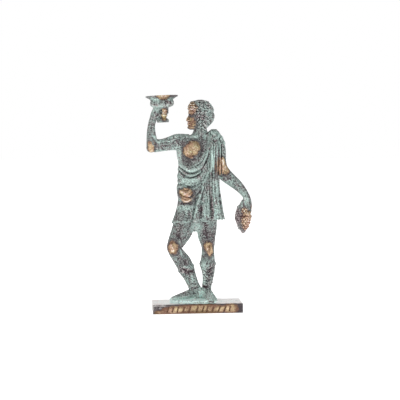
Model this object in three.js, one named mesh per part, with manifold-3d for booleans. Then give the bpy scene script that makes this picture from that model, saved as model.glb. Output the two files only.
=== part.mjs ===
// A small bronze statuette of a young god of wine, standing on a flat bar. Millimetres, +Z up.
// The figure looks out along -Y, with its head turned to -X. The origin is the middle of the bar's underside.
import * as THREE from "three";
import { mergeVertices } from "three/addons/utils/BufferGeometryUtils.js";
import Module from "manifold-3d";

const wasm = await Module();
wasm.setup();

// Driving dimensions
const plinth = { width: 66, depth: 22, height: 7, bevel: 0.5 };
const footPlateTop = 9.3;
const cup = {
  axis: [-25, -5],
  lean: 2.2, // degrees, towards -X
  foot: 139.0,
  rim: 158.2,
  rimRadius: 11.8,
  gadroons: 10,
};
const grapes = { top: [33.6, -4.6, 79.5], bottom: [33.7, -4.6, 59.6], radius: 1.85 };
const head = { chin: [1.5, 0.3, 133.8], yaw: -80 };
const hem = 67.5;
const belt = 92;

const { sin, cos, PI, abs, min, max, exp, hypot, atan2 } = Math;
const radians = THREE.MathUtils.degToRad;
const smooth = THREE.MathUtils.smoothstep;
const bell = (x, middle, width) => exp(-(((x - middle) / width) ** 2));

// Ridges that are rounder on top than in the groove between them, from -1 to 1.
const ridges = (phase) => 1 - 2 * abs(sin(phase / 2)) ** 1.4;

// A value through [place, value] pairs, eased between them.
function along(pairs, place, ease = (share) => smooth(share, 0, 1)) {
  if (place <= pairs[0][0]) return pairs[0][1];
  for (let i = 1; i < pairs.length; i++) {
    const [a, b] = [pairs[i - 1], pairs[i]];
    if (place <= b[0]) return a[1] + (b[1] - a[1]) * ease((place - a[0]) / (b[0] - a[0]));
  }
  return pairs.at(-1)[1];
}

// The closed solid of a three.js geometry.
function solid(geometry) {
  geometry.deleteAttribute("normal");
  geometry.deleteAttribute("uv");
  const merged = mergeVertices(geometry, 1e-4);
  return new wasm.Manifold(
    new wasm.Mesh({
      numProp: 3,
      vertProperties: merged.attributes.position.array,
      triVerts: new Uint32Array(merged.index.array),
    }),
  );
}

const join = (solids) => solids.reduce((whole, piece) => whole.add(piece));

// The casting without the small sealed voids that joined pieces leave inside it.
const larger = (one, other) => (other.volume() > one.volume() ? other : one);
const filled = (shape) => shape.decompose().reduce(larger);

// The triangles of a joined solid without the slivers along its seams: an edge that is too short closes up, and a
// triangle that is too thin gives its longest edge to the point beside it.
function withoutSlivers({ vertProperties, triVerts }, shortest = 0.03, thinnest = 0.006) {
  const points = Array.from({ length: vertProperties.length / 3 }, (_, n) =>
    new THREE.Vector3().fromArray(vertProperties, 3 * n),
  );
  const facesAt = points.map(() => new Set());
  const faces = new Set();
  const add = (face) => {
    faces.add(face);
    for (const point of face) facesAt[point].add(face);
  };
  const remove = (face) => {
    faces.delete(face);
    for (const point of face) facesAt[point].delete(face);
  };
  const around = (point) => new Set([...facesAt[point]].flat().filter((other) => other !== point));
  const span = ([a, b]) => points[a].distanceTo(points[b]);
  const turns = ([a, b, c]) => [[a, b, c], [b, c, a], [c, a, b]].sort((one, other) => span(one) - span(other));
  const height = ([a, b, c]) => new THREE.Triangle(points[a], points[b], points[c]).getArea() / (span([a, b]) / 2);

  function closeUp([from, to]) {
    const beside = around(to);
    if ([...around(from)].filter((point) => beside.has(point)).length !== 2) return false;
    for (const face of [...facesAt[from]]) {
      remove(face);
      if (!face.includes(to)) add(face.map((point) => (point === from ? to : point)));
    }
    return true;
  }

  function flip([a, b, c], face) {
    const beside = [...facesAt[a]].find((other) => other !== face && other.includes(b));
    const d = beside.find((point) => point !== a && point !== b);
    if (around(c).has(d)) return false;
    remove(face);
    remove(beside);
    add([a, d, c]);
    add([d, b, c]);
    return true;
  }

  for (let n = 0; n < triVerts.length; n += 3) add([...triVerts.subarray(n, n + 3)]);
  for (let pass = 0, changed = true; changed && pass < 20; pass++) {
    changed = false;
    for (const face of [...faces]) {
      if (!faces.has(face)) continue;
      const [short, , long] = turns(face);
      if (span(short) < shortest) changed = closeUp(short) || changed;
      else if (height(long) < thinnest) changed = flip(long, face) || changed;
    }
  }
  return [...faces].flatMap((face) => face.flatMap((point) => points[point].toArray()));
}

// A drum bent through stations [x, y, z, half width, half depth]. The angle runs from the front, -Y, towards +X
// on an upright limb. Relief adds to the radius, in mm.
function limb(stations, { around = 10, steps = 10, back = [0, 1, 0], relief } = {}) {
  const centre = new THREE.CatmullRomCurve3(stations.map(([x, y, z]) => new THREE.Vector3(x, y, z)));
  const size = new THREE.SplineCurve(stations.map(([, , , w, d]) => new THREE.Vector2(w, d ?? w)));
  const drum = new THREE.CylinderGeometry(1, 1, 1, around, steps);
  const points = drum.attributes.position;
  const deep = new THREE.Vector3();
  const wide = new THREE.Vector3();
  for (let i = 0; i < points.count; i++) {
    const [x, z] = [points.getX(i), points.getZ(i)];
    const t = min(1, max(0, points.getY(i) + 0.5));
    const reach = min(1, hypot(x, z));
    const angle = atan2(x, z);
    const run = centre.getTangent(t);
    deep.set(...back).addScaledVector(run, -run.dot(deep)).normalize();
    wide.crossVectors(deep, run);
    const { x: halfWide, y: halfDeep } = size.getPoint(t);
    const extra = relief ? relief(angle, t) : 0;
    const point = centre
      .getPoint(t)
      .addScaledVector(wide, sin(angle) * reach * (halfWide + extra))
      .addScaledVector(deep, -cos(angle) * reach * (halfDeep + extra));
    points.setXYZ(i, point.x, point.y, point.z);
  }
  return solid(drum);
}

// An upright form through sections [z, x, y, half width, half depth]. Its rows run from the lower edge to the
// upper one, which may change with the angle, and the middle of each end sits at the height given by hearts. Its
// columns crowd towards the front, and spread sets the rows apart.
function upright(sections, options) {
  const { around, steps, lower, upper, hearts, relief, crowd = 0, spread = (t) => t } = options;
  const [bottom, top] = [sections[0][0], sections.at(-1)[0]];
  const blend = new THREE.CubicInterpolant(
    sections.map(([z]) => z),
    sections.flatMap(([, ...rest]) => rest),
    4,
  );
  const drum = new THREE.CylinderGeometry(1, 1, 1, around, steps);
  const points = drum.attributes.position;
  for (let i = 0; i < points.count; i++) {
    const reach = min(1, hypot(points.getX(i), points.getZ(i)));
    const turn = atan2(points.getX(i), points.getZ(i));
    const angle = turn - crowd * sin(turn);
    const t = spread(points.getY(i) + 0.5);
    const edges = [lower?.(angle) ?? bottom, upper?.(angle) ?? top];
    const [low, high] = reach > 0.5 ? edges : (hearts ?? edges);
    const z = low + (high - low) * t;
    const [x, y, wide, deep] = blend.evaluate(min(top, max(bottom, z)));
    const extra = relief && reach > 0.5 ? relief(angle, z) : 0;
    points.setXYZ(i, x + sin(angle) * reach * (wide + extra), y - cos(angle) * reach * (deep + extra), z);
  }
  return solid(drum);
}

// A ball stretched to the given radii, and turned about Z.
function ball([x, y, z], radii, { around, rows, turn = 0 }) {
  const shape = new THREE.SphereGeometry(1, around, rows).rotateX(PI / 2).scale(...radii);
  return solid(shape.rotateZ(radians(turn)).translate(x, y, z));
}

// Trunk, bare on the right breast and shoulder
function trunk() {
  const core = upright(
    [
      [58.6, -1, 0.5, 1.6, 1.8],
      [60.4, -0.6, 0.5, 4.4, 4],
      [66, 0, 0.5, 11, 7],
      [76, 0, 0.5, 12.6, 7.4],
      [86, -1, 0, 11.6, 6.6],
      [94, -1, 0, 11.4, 6.4],
      [103, -0.8, -0.2, 12.2, 7],
      [112, -0.5, 0, 12.8, 7.8],
      [119, -0.4, 0.2, 13.4, 7.6],
      [124.5, 0.2, 0.6, 12.6, 6.6],
      [128.5, 1, 0.9, 9, 5.4],
      [130.4, 1.8, 0.9, 5.8, 5],
      [132.4, 2.2, 0.8, 4.7, 4.8],
      [137.5, 1.8, 0.8, 4.6, 4.8],
    ],
    { around: 16, steps: 12 },
  );
  const breast = ball([-5.2, -4.2, 118.4], [7, 4.9, 6], { around: 12, rows: 6, turn: -12 });
  const collar = limb(
    [
      [-12, -1.5, 128.6, 1.6],
      [-5, -4.1, 128.2, 1.4],
      [0.6, -4.4, 129, 1.2],
    ],
    { around: 5, steps: 3 },
  );
  return [core, breast, collar];
}

// The edge of the short tunic's neck: over the left shoulder and under the right breast.
const neckline = (angle) =>
  along(
    [
      [-180, 116],
      [-140, 112.5],
      [-90, 111],
      [-45, 107.6],
      [-20, 107.4],
      [2, 110],
      [26, 118.5],
      [50, 131],
      [130, 131],
      [155, 124],
      [180, 116],
    ],
    THREE.MathUtils.radToDeg(angle),
  );
const hemline = (angle) => hem - 0.9 + 0.5 * sin(3 * angle + 0.6);

// Short tunic, with looped folds on the chest, cloth gathered over the belt and upright pleats below
function tunic() {
  const loopedRows = 0.5;
  return upright(
    [
      [64, -1.2, 0.4, 15.8, 10.4],
      [70, -1.1, 0.4, 14.8, 9.8],
      [78, -1, 0.3, 13.2, 8.8],
      [86, -0.9, 0.1, 12.7, 8.2],
      [belt, -0.8, 0, 12.4, 7.5],
      [98, -0.7, -0.1, 12.8, 8.2],
      [110, -0.5, 0, 13.2, 8.8],
      [118, 0, 0.2, 14, 8.6],
      [124, 1.2, 0.5, 14, 7.8],
      [128.5, 3, 0.7, 12, 6.4],
      [131, 4, 0.8, 9.6, 5.4],
    ],
    {
      around: 32,
      steps: 16,
      lower: hemline,
      upper: neckline,
      hearts: [hem + 6, 106],
      spread: (t) => along([[0, 0], [1 - loopedRows, 0.65], [1, 1]], t, (share) => share),
      relief(angle, z) {
        const below = neckline(angle) - z;
        const front = bell(angle, -0.35, 1.15);
        const crests = bell(below, 2, 1.1) + bell(below, 6.4, 1);
        const loops = 0.9 * (crests - bell(below, 4, 0.9) - bell(below, 8.6, 1));
        const pleats = 0.95 * smooth(-z, 4 - belt, -hem) * ridges(8 * angle + 0.8 * sin(2 * angle));
        const gathered = smooth(belt - z, 0.4, 2.4) * smooth(z, belt - 14, belt - 7);
        const creases = 0.35 * ridges(1.3 * z - 4 * angle);
        return pleats + loops * front + gathered * (2.3 + creases) * bell(angle, -0.75, 0.8);
      },
    },
  );
}

// The cloak that hangs from the left shoulder, in long upright folds
function cloak() {
  return upright(
    [
      [66, 11.8, 0, 8.6, 9.4],
      [72, 11.4, 0, 8.1, 9.2],
      [82, 10.9, 0, 6.8, 8.8],
      [96, 10.9, 0, 6.2, 8.6],
      [110, 11.8, 0.1, 6.4, 8.8],
      [121, 12.4, 0.2, 6.4, 7.8],
      [129, 12.2, 0.6, 5, 5.4],
    ],
    {
      around: 32,
      steps: 6,
      lower: (angle) => hem + 0.9 + 0.5 * sin(4 * angle + 1),
      hearts: [hem + 6, 129],
      relief(angle, z) {
        const folds = ridges(8 * angle + 0.7 * sin(3 * angle) + 0.02 * z);
        return (1 - 0.4 * smooth(z, hem, 120)) * folds;
      },
    },
  );
}

// The bunched cloth on the left shoulder, down to the elbow
function sleeve() {
  return upright(
    [
      [101, 14.9, -0.4, 5.6, 6.8],
      [106, 14.5, -0.4, 6.2, 7.5],
      [113, 14.4, -0.2, 6.3, 7.9],
      [120, 14.4, 0, 6.5, 7.6],
      [126, 13.8, 0.3, 6.2, 6.8],
      [130, 13.1, 0.5, 5, 5.6],
      [132.6, 12.8, 0.6, 3.3, 3.9],
      [134.2, 12.6, 0.7, 1.2, 1.6],
    ],
    {
      around: 24,
      steps: 7,
      lower: (angle) => 101.6 + 0.6 * sin(5 * angle),
      hearts: [105, 134.2],
      relief: (angle, z) => (0.8 - 0.3 * smooth(z, 110, 134)) * ridges(8 * angle + 0.07 * z),
    },
  );
}

// Right arm, raised, with the hand round the cup's stem
function rightArm() {
  const upper = limb(
    [
      [-8, 0, 124.6, 6.4, 5.6],
      [-14, -0.2, 124.8, 6.1, 5.4],
      [-19.5, -0.6, 124.2, 5.2, 4.8],
      [-25, -1.2, 122.8, 4.7, 4.4],
      [-30.5, -1.8, 122.1, 4.6, 4],
      [-35, -2.2, 121.8, 3, 2.8],
    ],
    { around: 8, steps: 6 },
  );
  const fore = limb(
    [
      [-31.8, -2, 118.6, 2.6, 2.4],
      [-32.6, -2, 122, 4.4, 3.9],
      [-33.1, -2.4, 127, 3.9, 3.6],
      [-33.5, -3.2, 132, 3.2, 3.1],
      [-33.2, -4.2, 137.5, 2.7, 2.5],
      [-31.9, -5.2, 142, 2.8, 2.3],
      [-30.6, -5.6, 145.4, 3.2, 2.3],
      [-28.8, -5.8, 149.4, 3, 2.2],
    ],
    { around: 8, steps: 9 },
  );
  const heel = ball([-29, -5.4, 144.4], [2.4, 2, 3.4], { around: 7, rows: 4 });
  const thumb = limb(
    [
      [-30.6, -6.6, 146.2, 1.2],
      [-28.4, -8.2, 148.2, 1.15],
      [-25.2, -9.0, 149.6, 1.0],
      [-23.4, -9.0, 149.9, 0.6],
    ],
    { around: 5, steps: 3 },
  );
  const fingers = [0, 1, 2].map((n) => {
    const z = 148.7 - 1.6 * n;
    return limb(
      [
        [-30, -4.2, z - 0.4, 1.1],
        [-27.2, -1.4, z, 1],
        [-23.4, -1.6, z, 1],
        [-21.7, -4.8, z - 0.1, 0.95],
        [-23, -7.8, z - 0.2, 0.9],
        [-25.4, -8.6, z - 0.3, 0.6],
      ],
      { around: 5, steps: 5, back: [0, 0, 1] },
    );
  });
  return [upper, fore, heel, thumb, ...fingers];
}

// Wine cup: foot, knop and stem, gadrooned bowl and wide lip, hollow inside
function wineCup() {
  const { foot, rim, rimRadius, gadroons } = cup;
  const outline = [
    [0, foot],
    [4.2, foot],
    [4.2, foot + 1.6],
    [2.7, foot + 2.8],
    [3.5, foot + 5],
    [2.7, foot + 8.6],
    [3.4, foot + 10.7],
    [7, foot + 11.8],
    [8, foot + 13.8],
    [7.5, foot + 15.8],
    [9, rim - 2.2],
    [rimRadius, rim - 0.6],
    [rimRadius, rim],
    [7.6, rim - 2.4],
    [6.6, rim - 5],
    [0, rim - 6.8],
  ];
  const shape = new THREE.LatheGeometry(
    outline.map(([r, z]) => new THREE.Vector2(r, z)),
    2 * gadroons,
  );
  const points = shape.attributes.position;
  for (let i = 0; i < points.count; i++) {
    const [x, z, y] = [points.getX(i), points.getY(i), points.getZ(i)];
    const r = hypot(x, y);
    const fluted = r > 6.4 && z < rim - 2.4 && z < foot + 15 ? bell(z, foot + 13.4, 1.7) : 0;
    const grow = 1 + 0.045 * fluted * cos(gadroons * atan2(x, y));
    points.setXYZ(i, x * grow, z, y * grow);
  }
  shape.rotateX(PI / 2);
  shape.translate(0, 0, -foot).rotateY(radians(-cup.lean)).translate(cup.axis[0], cup.axis[1], foot);
  return solid(shape);
}

// Left arm, lowered, with the hand over the bunch of grapes
function leftArm() {
  const arm = limb(
    [
      [14.5, 0.3, 126, 4.6, 4.6],
      [16.2, 0.2, 116, 4.9, 4.9],
      [17.6, 0, 107, 4.6, 4.6],
      [20.2, -0.4, 101.6, 4.9, 4.5],
      [24.6, -1, 97.5, 4.5, 4.1],
      [29.2, -2, 93.6, 4, 3.6],
      [33, -2.8, 89.6, 3.3, 2.9],
      [35.8, -3.4, 85.6, 2.7, 2.4],
      [37, -3.8, 81.6, 2.9, 3.2],
      [37.9, -4, 77.4, 2.5, 3.4],
      [38, -4, 73.6, 1.7, 3],
    ],
    { around: 8, steps: 14 },
  );
  const thumb = limb(
    [
      [35.2, -5.2, 84, 1.3],
      [33.4, -7, 81.4, 1.25],
      [32.2, -8.6, 78.4, 0.9],
    ],
    { around: 5, steps: 3 },
  );
  const fingers = [0, 1, 2].map((n) =>
    limb(
      [
        [38, -6.2 + 2.2 * n, 77.6, 1.1],
        [38.4, -6.8 + 2.3 * n, 74.2, 1.1],
        [36.4, -8.2 + 2.4 * n, 72.4, 1],
        [33.6, -9 + 2.4 * n, 73.2, 0.7],
      ],
      { around: 5, steps: 4 },
    ),
  );
  return [arm, thumb, ...fingers];
}

// Bunch of grapes: rings of round fruit that narrow towards the tip, round a solid heart
function grapeBunch() {
  const { top, bottom, radius } = grapes;
  const heart = limb(
    [
      [top[0], top[1], top[2] + 3, 1.1],
      [top[0], top[1], top[2] - 2, 3.6],
      [top[0], top[1], top[2] - 9, 4.9, 4.4],
      [top[0], top[1], top[2] - 15, 3.2],
      [...bottom, 0.8],
    ],
    { around: 6, steps: 5 },
  );
  const rows = 6;
  const fruit = [];
  for (let row = 0; row < rows; row++) {
    const share = row / (rows - 1);
    const z = top[2] - 2.4 - share * (top[2] - bottom[2] - 3);
    const spread = along([[0, 3.7], [0.42, 5.1], [0.75, 3.4], [1, 0]], share);
    const count = max(1, Math.floor((2 * PI * spread) / (radius * 2.15)));
    for (let n = 0; n < count; n++) {
      const angle = ((n + 0.5 * (row % 2)) / count) * 2 * PI;
      const place = [top[0] + spread * sin(angle), top[1] - 0.9 * spread * cos(angle), z];
      fruit.push(solid(new THREE.IcosahedronGeometry(radius).rotateZ(-angle).translate(...place)));
    }
  }
  return [heart, ...fruit];
}

// Boot relief: a rolled cuff below the calf and laces down the shin
const bootRelief = (cuff, laces) => (angle, t) => {
  const leather = smooth(cuff - t, -0.02, 0.02);
  const roll = 0.5 * bell(t, cuff, 0.03);
  return 0.35 * leather + roll + (laces ? 0.3 * leather * sin(14 * PI * t) * bell(angle, 0, 0.7) : 0);
};

// Right leg, bent, with the foot turned out to -X
function rightLeg() {
  const thigh = limb(
    [
      [-15.2, -3.4, 43.6, 2.4],
      [-16.5, -4, 46.6, 5.1, 4.9],
      [-15.8, -3.6, 50, 5.8, 5.4],
      [-13.6, -2.6, 54.6, 6.8, 6.2],
      [-10.9, -1.4, 60.4, 7.9, 7.4],
      [-8.6, 0, 69, 8, 8],
    ],
    { around: 10, steps: 6 },
  );
  const shin = limb(
    [
      [0.6, 2, 10.4, 4.2, 3.2],
      [-0.6, 2, 14.4, 4.6, 3.6],
      [-2, 1.8, 19.4, 3.9, 3.7],
      [-4.4, 1, 25.4, 4.3, 4.2],
      [-6.9, 0, 31, 5.5, 4.9],
      [-9.6, -1.2, 36.6, 6, 5.3],
      [-12.8, -2.8, 41.6, 5.6, 5],
      [-15.8, -4, 46.2, 5, 4.6],
      [-16.4, -4.2, 48.6, 2.8, 2.6],
    ],
    { around: 10, steps: 13, relief: bootRelief(0.53, false) },
  );
  const foot = limb(
    [
      [5, 2.4, 11.4, 1.6, 1.4],
      [3.6, 2.4, 12, 3, 2.9],
      [-1, 2.2, 12.9, 3.5, 4],
      [-6, 1.6, 12.2, 3.7, 3.2],
      [-11, 1, 11.2, 4.2, 2.2],
      [-15.4, 0.4, 10.6, 4.3, 1.6],
      [-18, 0.2, 10.2, 3.6, 1.2],
      [-19.4, 0.2, 10, 2, 0.8],
    ],
    { around: 9, steps: 6, back: [0, 0, 1] },
  );
  return [thigh, shin, foot];
}

// Left leg, straight, with the foot to the front
function leftLeg() {
  const leg = limb(
    [
      [7.4, 1.6, 10.2, 3.4, 3.4],
      [7.3, 1.2, 14, 3.5, 3.6],
      [7.4, 0.8, 18, 3.3, 3.5],
      [8, 0.6, 22.6, 3.5, 3.8],
      [8.5, 0.6, 28, 4.3, 4.6],
      [8.1, 0.6, 34.4, 5.5, 5.4],
      [8.2, 0.2, 40, 5.1, 5],
      [8.4, -0.8, 45.4, 4.4, 4.8],
      [8.3, -0.8, 49.6, 4.8, 5],
      [7.6, -0.3, 55.6, 6.3, 6.2],
      [7.3, 0.2, 63, 7.6, 7.4],
      [7, 0.5, 71, 7.6, 7.6],
    ],
    { around: 11, steps: 18, relief: bootRelief(0.37, true) },
  );
  const foot = limb(
    [
      [7.2, 4.6, 11.4, 1.8, 1.6],
      [7.4, 3.2, 12, 3, 2.8],
      [8, -0.6, 12.8, 3.4, 3.9],
      [9.4, -4.2, 11.8, 4, 2.8],
      [10.6, -7, 10.9, 4.3, 1.9],
      [11.2, -9, 10.4, 3.7, 1.4],
      [11.5, -10.2, 10.1, 2.2, 0.8],
    ],
    { around: 9, steps: 6, back: [0, 0, 1] },
  );
  const kneecap = ball([8.7, -4.2, 46.6], [2.9, 2, 4], { around: 8, rows: 5 });
  return [leg, foot, kneecap];
}

// Thin plate under both feet
function footPlate() {
  const [left, right, front, rear] = [-20, 16.4, -10.4, 8.6];
  const outline = new THREE.Shape();
  outline.moveTo(left, -4.4);
  outline.bezierCurveTo(left + 4, front + 1, 0, front + 0.6, 8, front);
  outline.bezierCurveTo(right, front, right + 0.6, front + 4, right - 1, 0);
  outline.bezierCurveTo(right - 2, rear, 6, rear, 0, rear - 1);
  outline.bezierCurveTo(-8, rear, left, rear - 2, left, 3.4);
  outline.closePath();
  const rise = footPlateTop - plinth.height - 0.8;
  const plate = new THREE.ExtrudeGeometry(outline, {
    depth: rise,
    curveSegments: 4,
    bevelThickness: 0.8,
    bevelSize: 0.7,
    bevelOffset: -0.7,
    bevelSegments: 1,
  });
  plate.translate(0, 0, plinth.height);
  const under = new THREE.BoxGeometry(90, 60, 10).translate(0, 0, plinth.height - 5);
  return solid(plate).subtract(solid(under));
}

// Head, turned in profile, with a plain classical face under a cap of curls
const chinToCrown = [
  [0, 0, -4.4, 2.2, 2.2],
  [0.8, 0, -3.8, 3.9, 3.9],
  [2.6, 0, -2.3, 5.1, 5.4],
  [5, 0, -0.8, 6, 6.9],
  [7.5, 0, 0.3, 6.7, 7.8],
  [10.4, 0, 0.9, 7.1, 8.2],
  [12.8, 0, 0.9, 7.2, 8.6],
  [15.8, 0, 1, 7, 8.3],
  [18.6, 0, 1.1, 6, 7],
  [20.8, 0, 1.2, 4, 4.6],
  [21.8, 0, 1.3, 1.4, 1.6],
];
const hairline = (angle) =>
  along(
    [
      [0, 15],
      [0.7, 14.2],
      [1.05, 9],
      [1.25, 4],
      [1.9, 1.2],
      [PI, 1],
    ],
    abs(angle),
  );

function faceRelief(angle, h) {
  const side = abs(angle);
  const nose = bell(side, 0, 0.2) * along([[5.4, 0], [6.2, 1.9], [7.4, 1.7], [11.4, 0.5], [13, 0]], h);
  const sockets = -0.7 * bell(side, 0.42, 0.18) * bell(h, 10.6, 1);
  const brow = 0.35 * bell(side, 0.4, 0.35) * bell(h, 12.4, 0.8);
  const mouth = 0.4 * bell(side, 0, 0.3) * (bell(h, 4.6, 0.45) + bell(h, 3.5, 0.5));
  const chin = 0.5 * bell(side, 0, 0.35) * bell(h, 1.5, 0.9);
  return nose + sockets + brow + mouth + chin;
}

// Head and hair, with a narrow band round the curls
function headAndHair() {
  const skull = upright(chinToCrown, {
    around: 24,
    steps: 18,
    crowd: 0.35,
    relief(angle, h) {
      const inHair = smooth(h - hairline(angle), -0.3, 0.7);
      const curls = 0.55 * sin(8 * angle + 1.6 * sin(1.2 * h)) * cos(1.7 * h) * bell(h, 9, 10);
      const band = 0.8 * bell(h, 14 + 2.2 * cos(angle), 0.6);
      return inHair * (0.9 + curls) + band + (1 - inHair) * faceRelief(angle, h);
    },
  });
  const chignon = limb(
    [
      [0, 7.4, 5, 1.6],
      [0, 8.6, 7, 3.4, 2.2],
      [0, 9.2, 10.2, 3.8, 2.4],
      [0, 8.4, 12.6, 2, 1.6],
    ],
    { around: 10, steps: 5, relief: (angle) => 0.3 * ridges(5 * angle) },
  );
  const locks = [-1, 1].map((side) =>
    limb(
      [
        [side * 5.6, 3.4, 9, 2.2],
        [side * 6, 3.4, 5, 2.3],
        [side * 5.2, 4.2, 1.4, 2],
        [side * 4.6, 4.6, -1.4, 1],
      ],
      { around: 5, steps: 5, relief: (angle, t) => 0.35 * sin(18 * t + 2 * angle) },
    ),
  );
  return [skull, chignon, ...locks].map((piece) => piece.rotate([0, 0, head.yaw]).translate(head.chin));
}

// Bar with a row of shallow strokes cut along its front, which are not letters
function plinthBar() {
  const { width, depth, height, bevel } = plinth;
  const outline = new THREE.Shape();
  outline.moveTo(-width / 2 + bevel, -depth / 2 + bevel);
  outline.lineTo(width / 2 - bevel, -depth / 2 + bevel);
  outline.lineTo(width / 2 - bevel, depth / 2 - bevel);
  outline.lineTo(-width / 2 + bevel, depth / 2 - bevel);
  outline.closePath();
  const bar = new THREE.ExtrudeGeometry(outline, {
    depth: height - 2 * bevel,
    bevelThickness: bevel,
    bevelSize: bevel,
    bevelSegments: 1,
  });
  bar.translate(0, 0, bevel);
  const stroke = { count: 14, first: -22, pitch: 3.4, width: 0.7, length: 3.4, cut: 0.45 };
  const strokes = [];
  for (let n = 0; n < stroke.count; n++) {
    const cutter = new THREE.BoxGeometry(stroke.width, 2 * stroke.cut, stroke.length);
    cutter.rotateY(radians([24, -24, 0][n % 3]));
    strokes.push(solid(cutter.translate(stroke.first + n * stroke.pitch, -depth / 2, height / 2)));
  }
  return strokes.reduce((rest, cut) => rest.subtract(cut), solid(bar));
}

function mesh(name, shape, material) {
  const geometry = new THREE.BufferGeometry();
  geometry.setAttribute("position", new THREE.Float32BufferAttribute(withoutSlivers(shape.getMesh()), 3));
  const made = new THREE.Mesh(geometry, material);
  made.name = name;
  return made;
}

const patina = new THREE.MeshStandardMaterial({ color: 0x7fa79d, roughness: 0.75, metalness: 0.35 });
const bronze = new THREE.MeshStandardMaterial({ color: 0xa9805a, roughness: 0.38, metalness: 0.9 });

const castTogether = [
  footPlate(),
  ...rightLeg(),
  ...leftLeg(),
  ...trunk(),
  tunic(),
  cloak(),
  sleeve(),
  ...rightArm(),
  wineCup(),
  ...leftArm(),
  ...grapeBunch(),
  ...headAndHair(),
];
const figure = filled(join(castTogether));

const statuette = new THREE.Group();
statuette.add(mesh("plinth", plinthBar(), bronze));
statuette.add(mesh("figure", figure, patina));

export default statuette;
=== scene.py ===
import math
import random

import bmesh
import bpy
import numpy as np
from mathutils import Matrix, Vector, geometry, kdtree, noise


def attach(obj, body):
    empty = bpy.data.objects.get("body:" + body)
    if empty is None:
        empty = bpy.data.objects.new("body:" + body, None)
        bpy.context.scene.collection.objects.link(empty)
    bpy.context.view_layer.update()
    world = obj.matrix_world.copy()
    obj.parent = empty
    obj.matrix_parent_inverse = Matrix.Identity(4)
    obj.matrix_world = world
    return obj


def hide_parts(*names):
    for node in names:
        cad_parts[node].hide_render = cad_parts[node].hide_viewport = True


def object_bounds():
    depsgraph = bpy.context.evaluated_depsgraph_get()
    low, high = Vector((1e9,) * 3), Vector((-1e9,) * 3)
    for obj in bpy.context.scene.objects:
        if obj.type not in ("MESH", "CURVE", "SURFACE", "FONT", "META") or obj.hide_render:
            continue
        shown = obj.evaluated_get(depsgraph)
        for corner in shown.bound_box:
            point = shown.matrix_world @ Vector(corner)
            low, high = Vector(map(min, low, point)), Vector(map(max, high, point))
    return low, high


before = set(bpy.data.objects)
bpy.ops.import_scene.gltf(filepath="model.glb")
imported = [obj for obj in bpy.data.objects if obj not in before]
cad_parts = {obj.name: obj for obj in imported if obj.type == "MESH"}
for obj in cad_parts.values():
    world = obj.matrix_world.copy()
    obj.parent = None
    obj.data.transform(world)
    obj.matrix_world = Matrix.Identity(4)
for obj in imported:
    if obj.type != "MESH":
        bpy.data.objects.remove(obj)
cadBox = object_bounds()
perMetre = 1000
print("frame loaded")


# Numbers that run along a form.
def bell(x, width):
    return np.exp(-(x / width) ** 2)


def smooth(x, low, high):
    s = np.clip((x - low) / (high - low), 0, 1)
    return s * s * (3 - 2 * s)


def eased(pairs, at):
    places, values = np.array(pairs, float).T
    n = np.clip(np.searchsorted(places, at) - 1, 0, len(places) - 2)
    return values[n] + (values[n + 1] - values[n]) * smooth(at, places[n], places[n + 1])


def through(rows, at):
    # a smooth curve through rows [place, value, value, ...]
    rows = np.array(rows, float)
    place, values = rows[:, 0], rows[:, 1:]
    slopes = np.gradient(values, place, axis=0)
    at = np.clip(at, place[0], place[-1])
    n = np.clip(np.searchsorted(place, at) - 1, 0, len(place) - 2)
    gap = (place[n + 1] - place[n])[..., None]
    s = (at - place[n])[..., None] / gap
    rise = 3 * s**2 - 2 * s**3
    return (
        values[n] * (1 - rise)
        + values[n + 1] * rise
        + gap * (slopes[n] * (s**3 - 2 * s**2 + s) + slopes[n + 1] * (s**3 - s**2))
    )


def folds(turn, z, knots, low, high):
    # folds round a form, round on top and sharp below: knots are [degrees at low, degrees at high, height]
    table = np.array(knots, float)
    table = np.vstack([table[-1] - (360, 360, 0), table, table[0] + (360, 360, 0)])
    share = np.clip((z - low) / (high - low), 0, 1)
    total = np.zeros_like(z)
    for one, other in zip(table, table[1:]):
        start = one[0] + (one[1] - one[0]) * share
        end = other[0] + (other[1] - other[0]) * share
        s = np.clip((turn - start) / (end - start), 0, 1)
        rise = np.sin(s * math.pi / 2) if one[2] < other[2] else 1 - np.cos(s * math.pi / 2)
        total = np.where((turn >= start) & (turn < end), one[2] + (other[2] - one[2]) * rise, total)
    return total


# Forms.
def drum(around, rows, place):
    # a closed skin: place gives the points for an angle round the form and a share v of the way between its
    # two poles
    shape = bmesh.new()
    bmesh.ops.create_grid(shape, x_segments=around, y_segments=rows, size=0.5)
    flat = np.array([vertex.co[:2] for vertex in shape.verts]) + 0.5
    for vertex, point in zip(shape.verts, place((flat[:, 0] * 2 - 1) * math.pi, flat[:, 1])):
        vertex.co = point
    bmesh.ops.remove_doubles(shape, verts=shape.verts, dist=0.0002)
    bmesh.ops.recalc_face_normals(shape, faces=shape.faces)
    return shape


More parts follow.
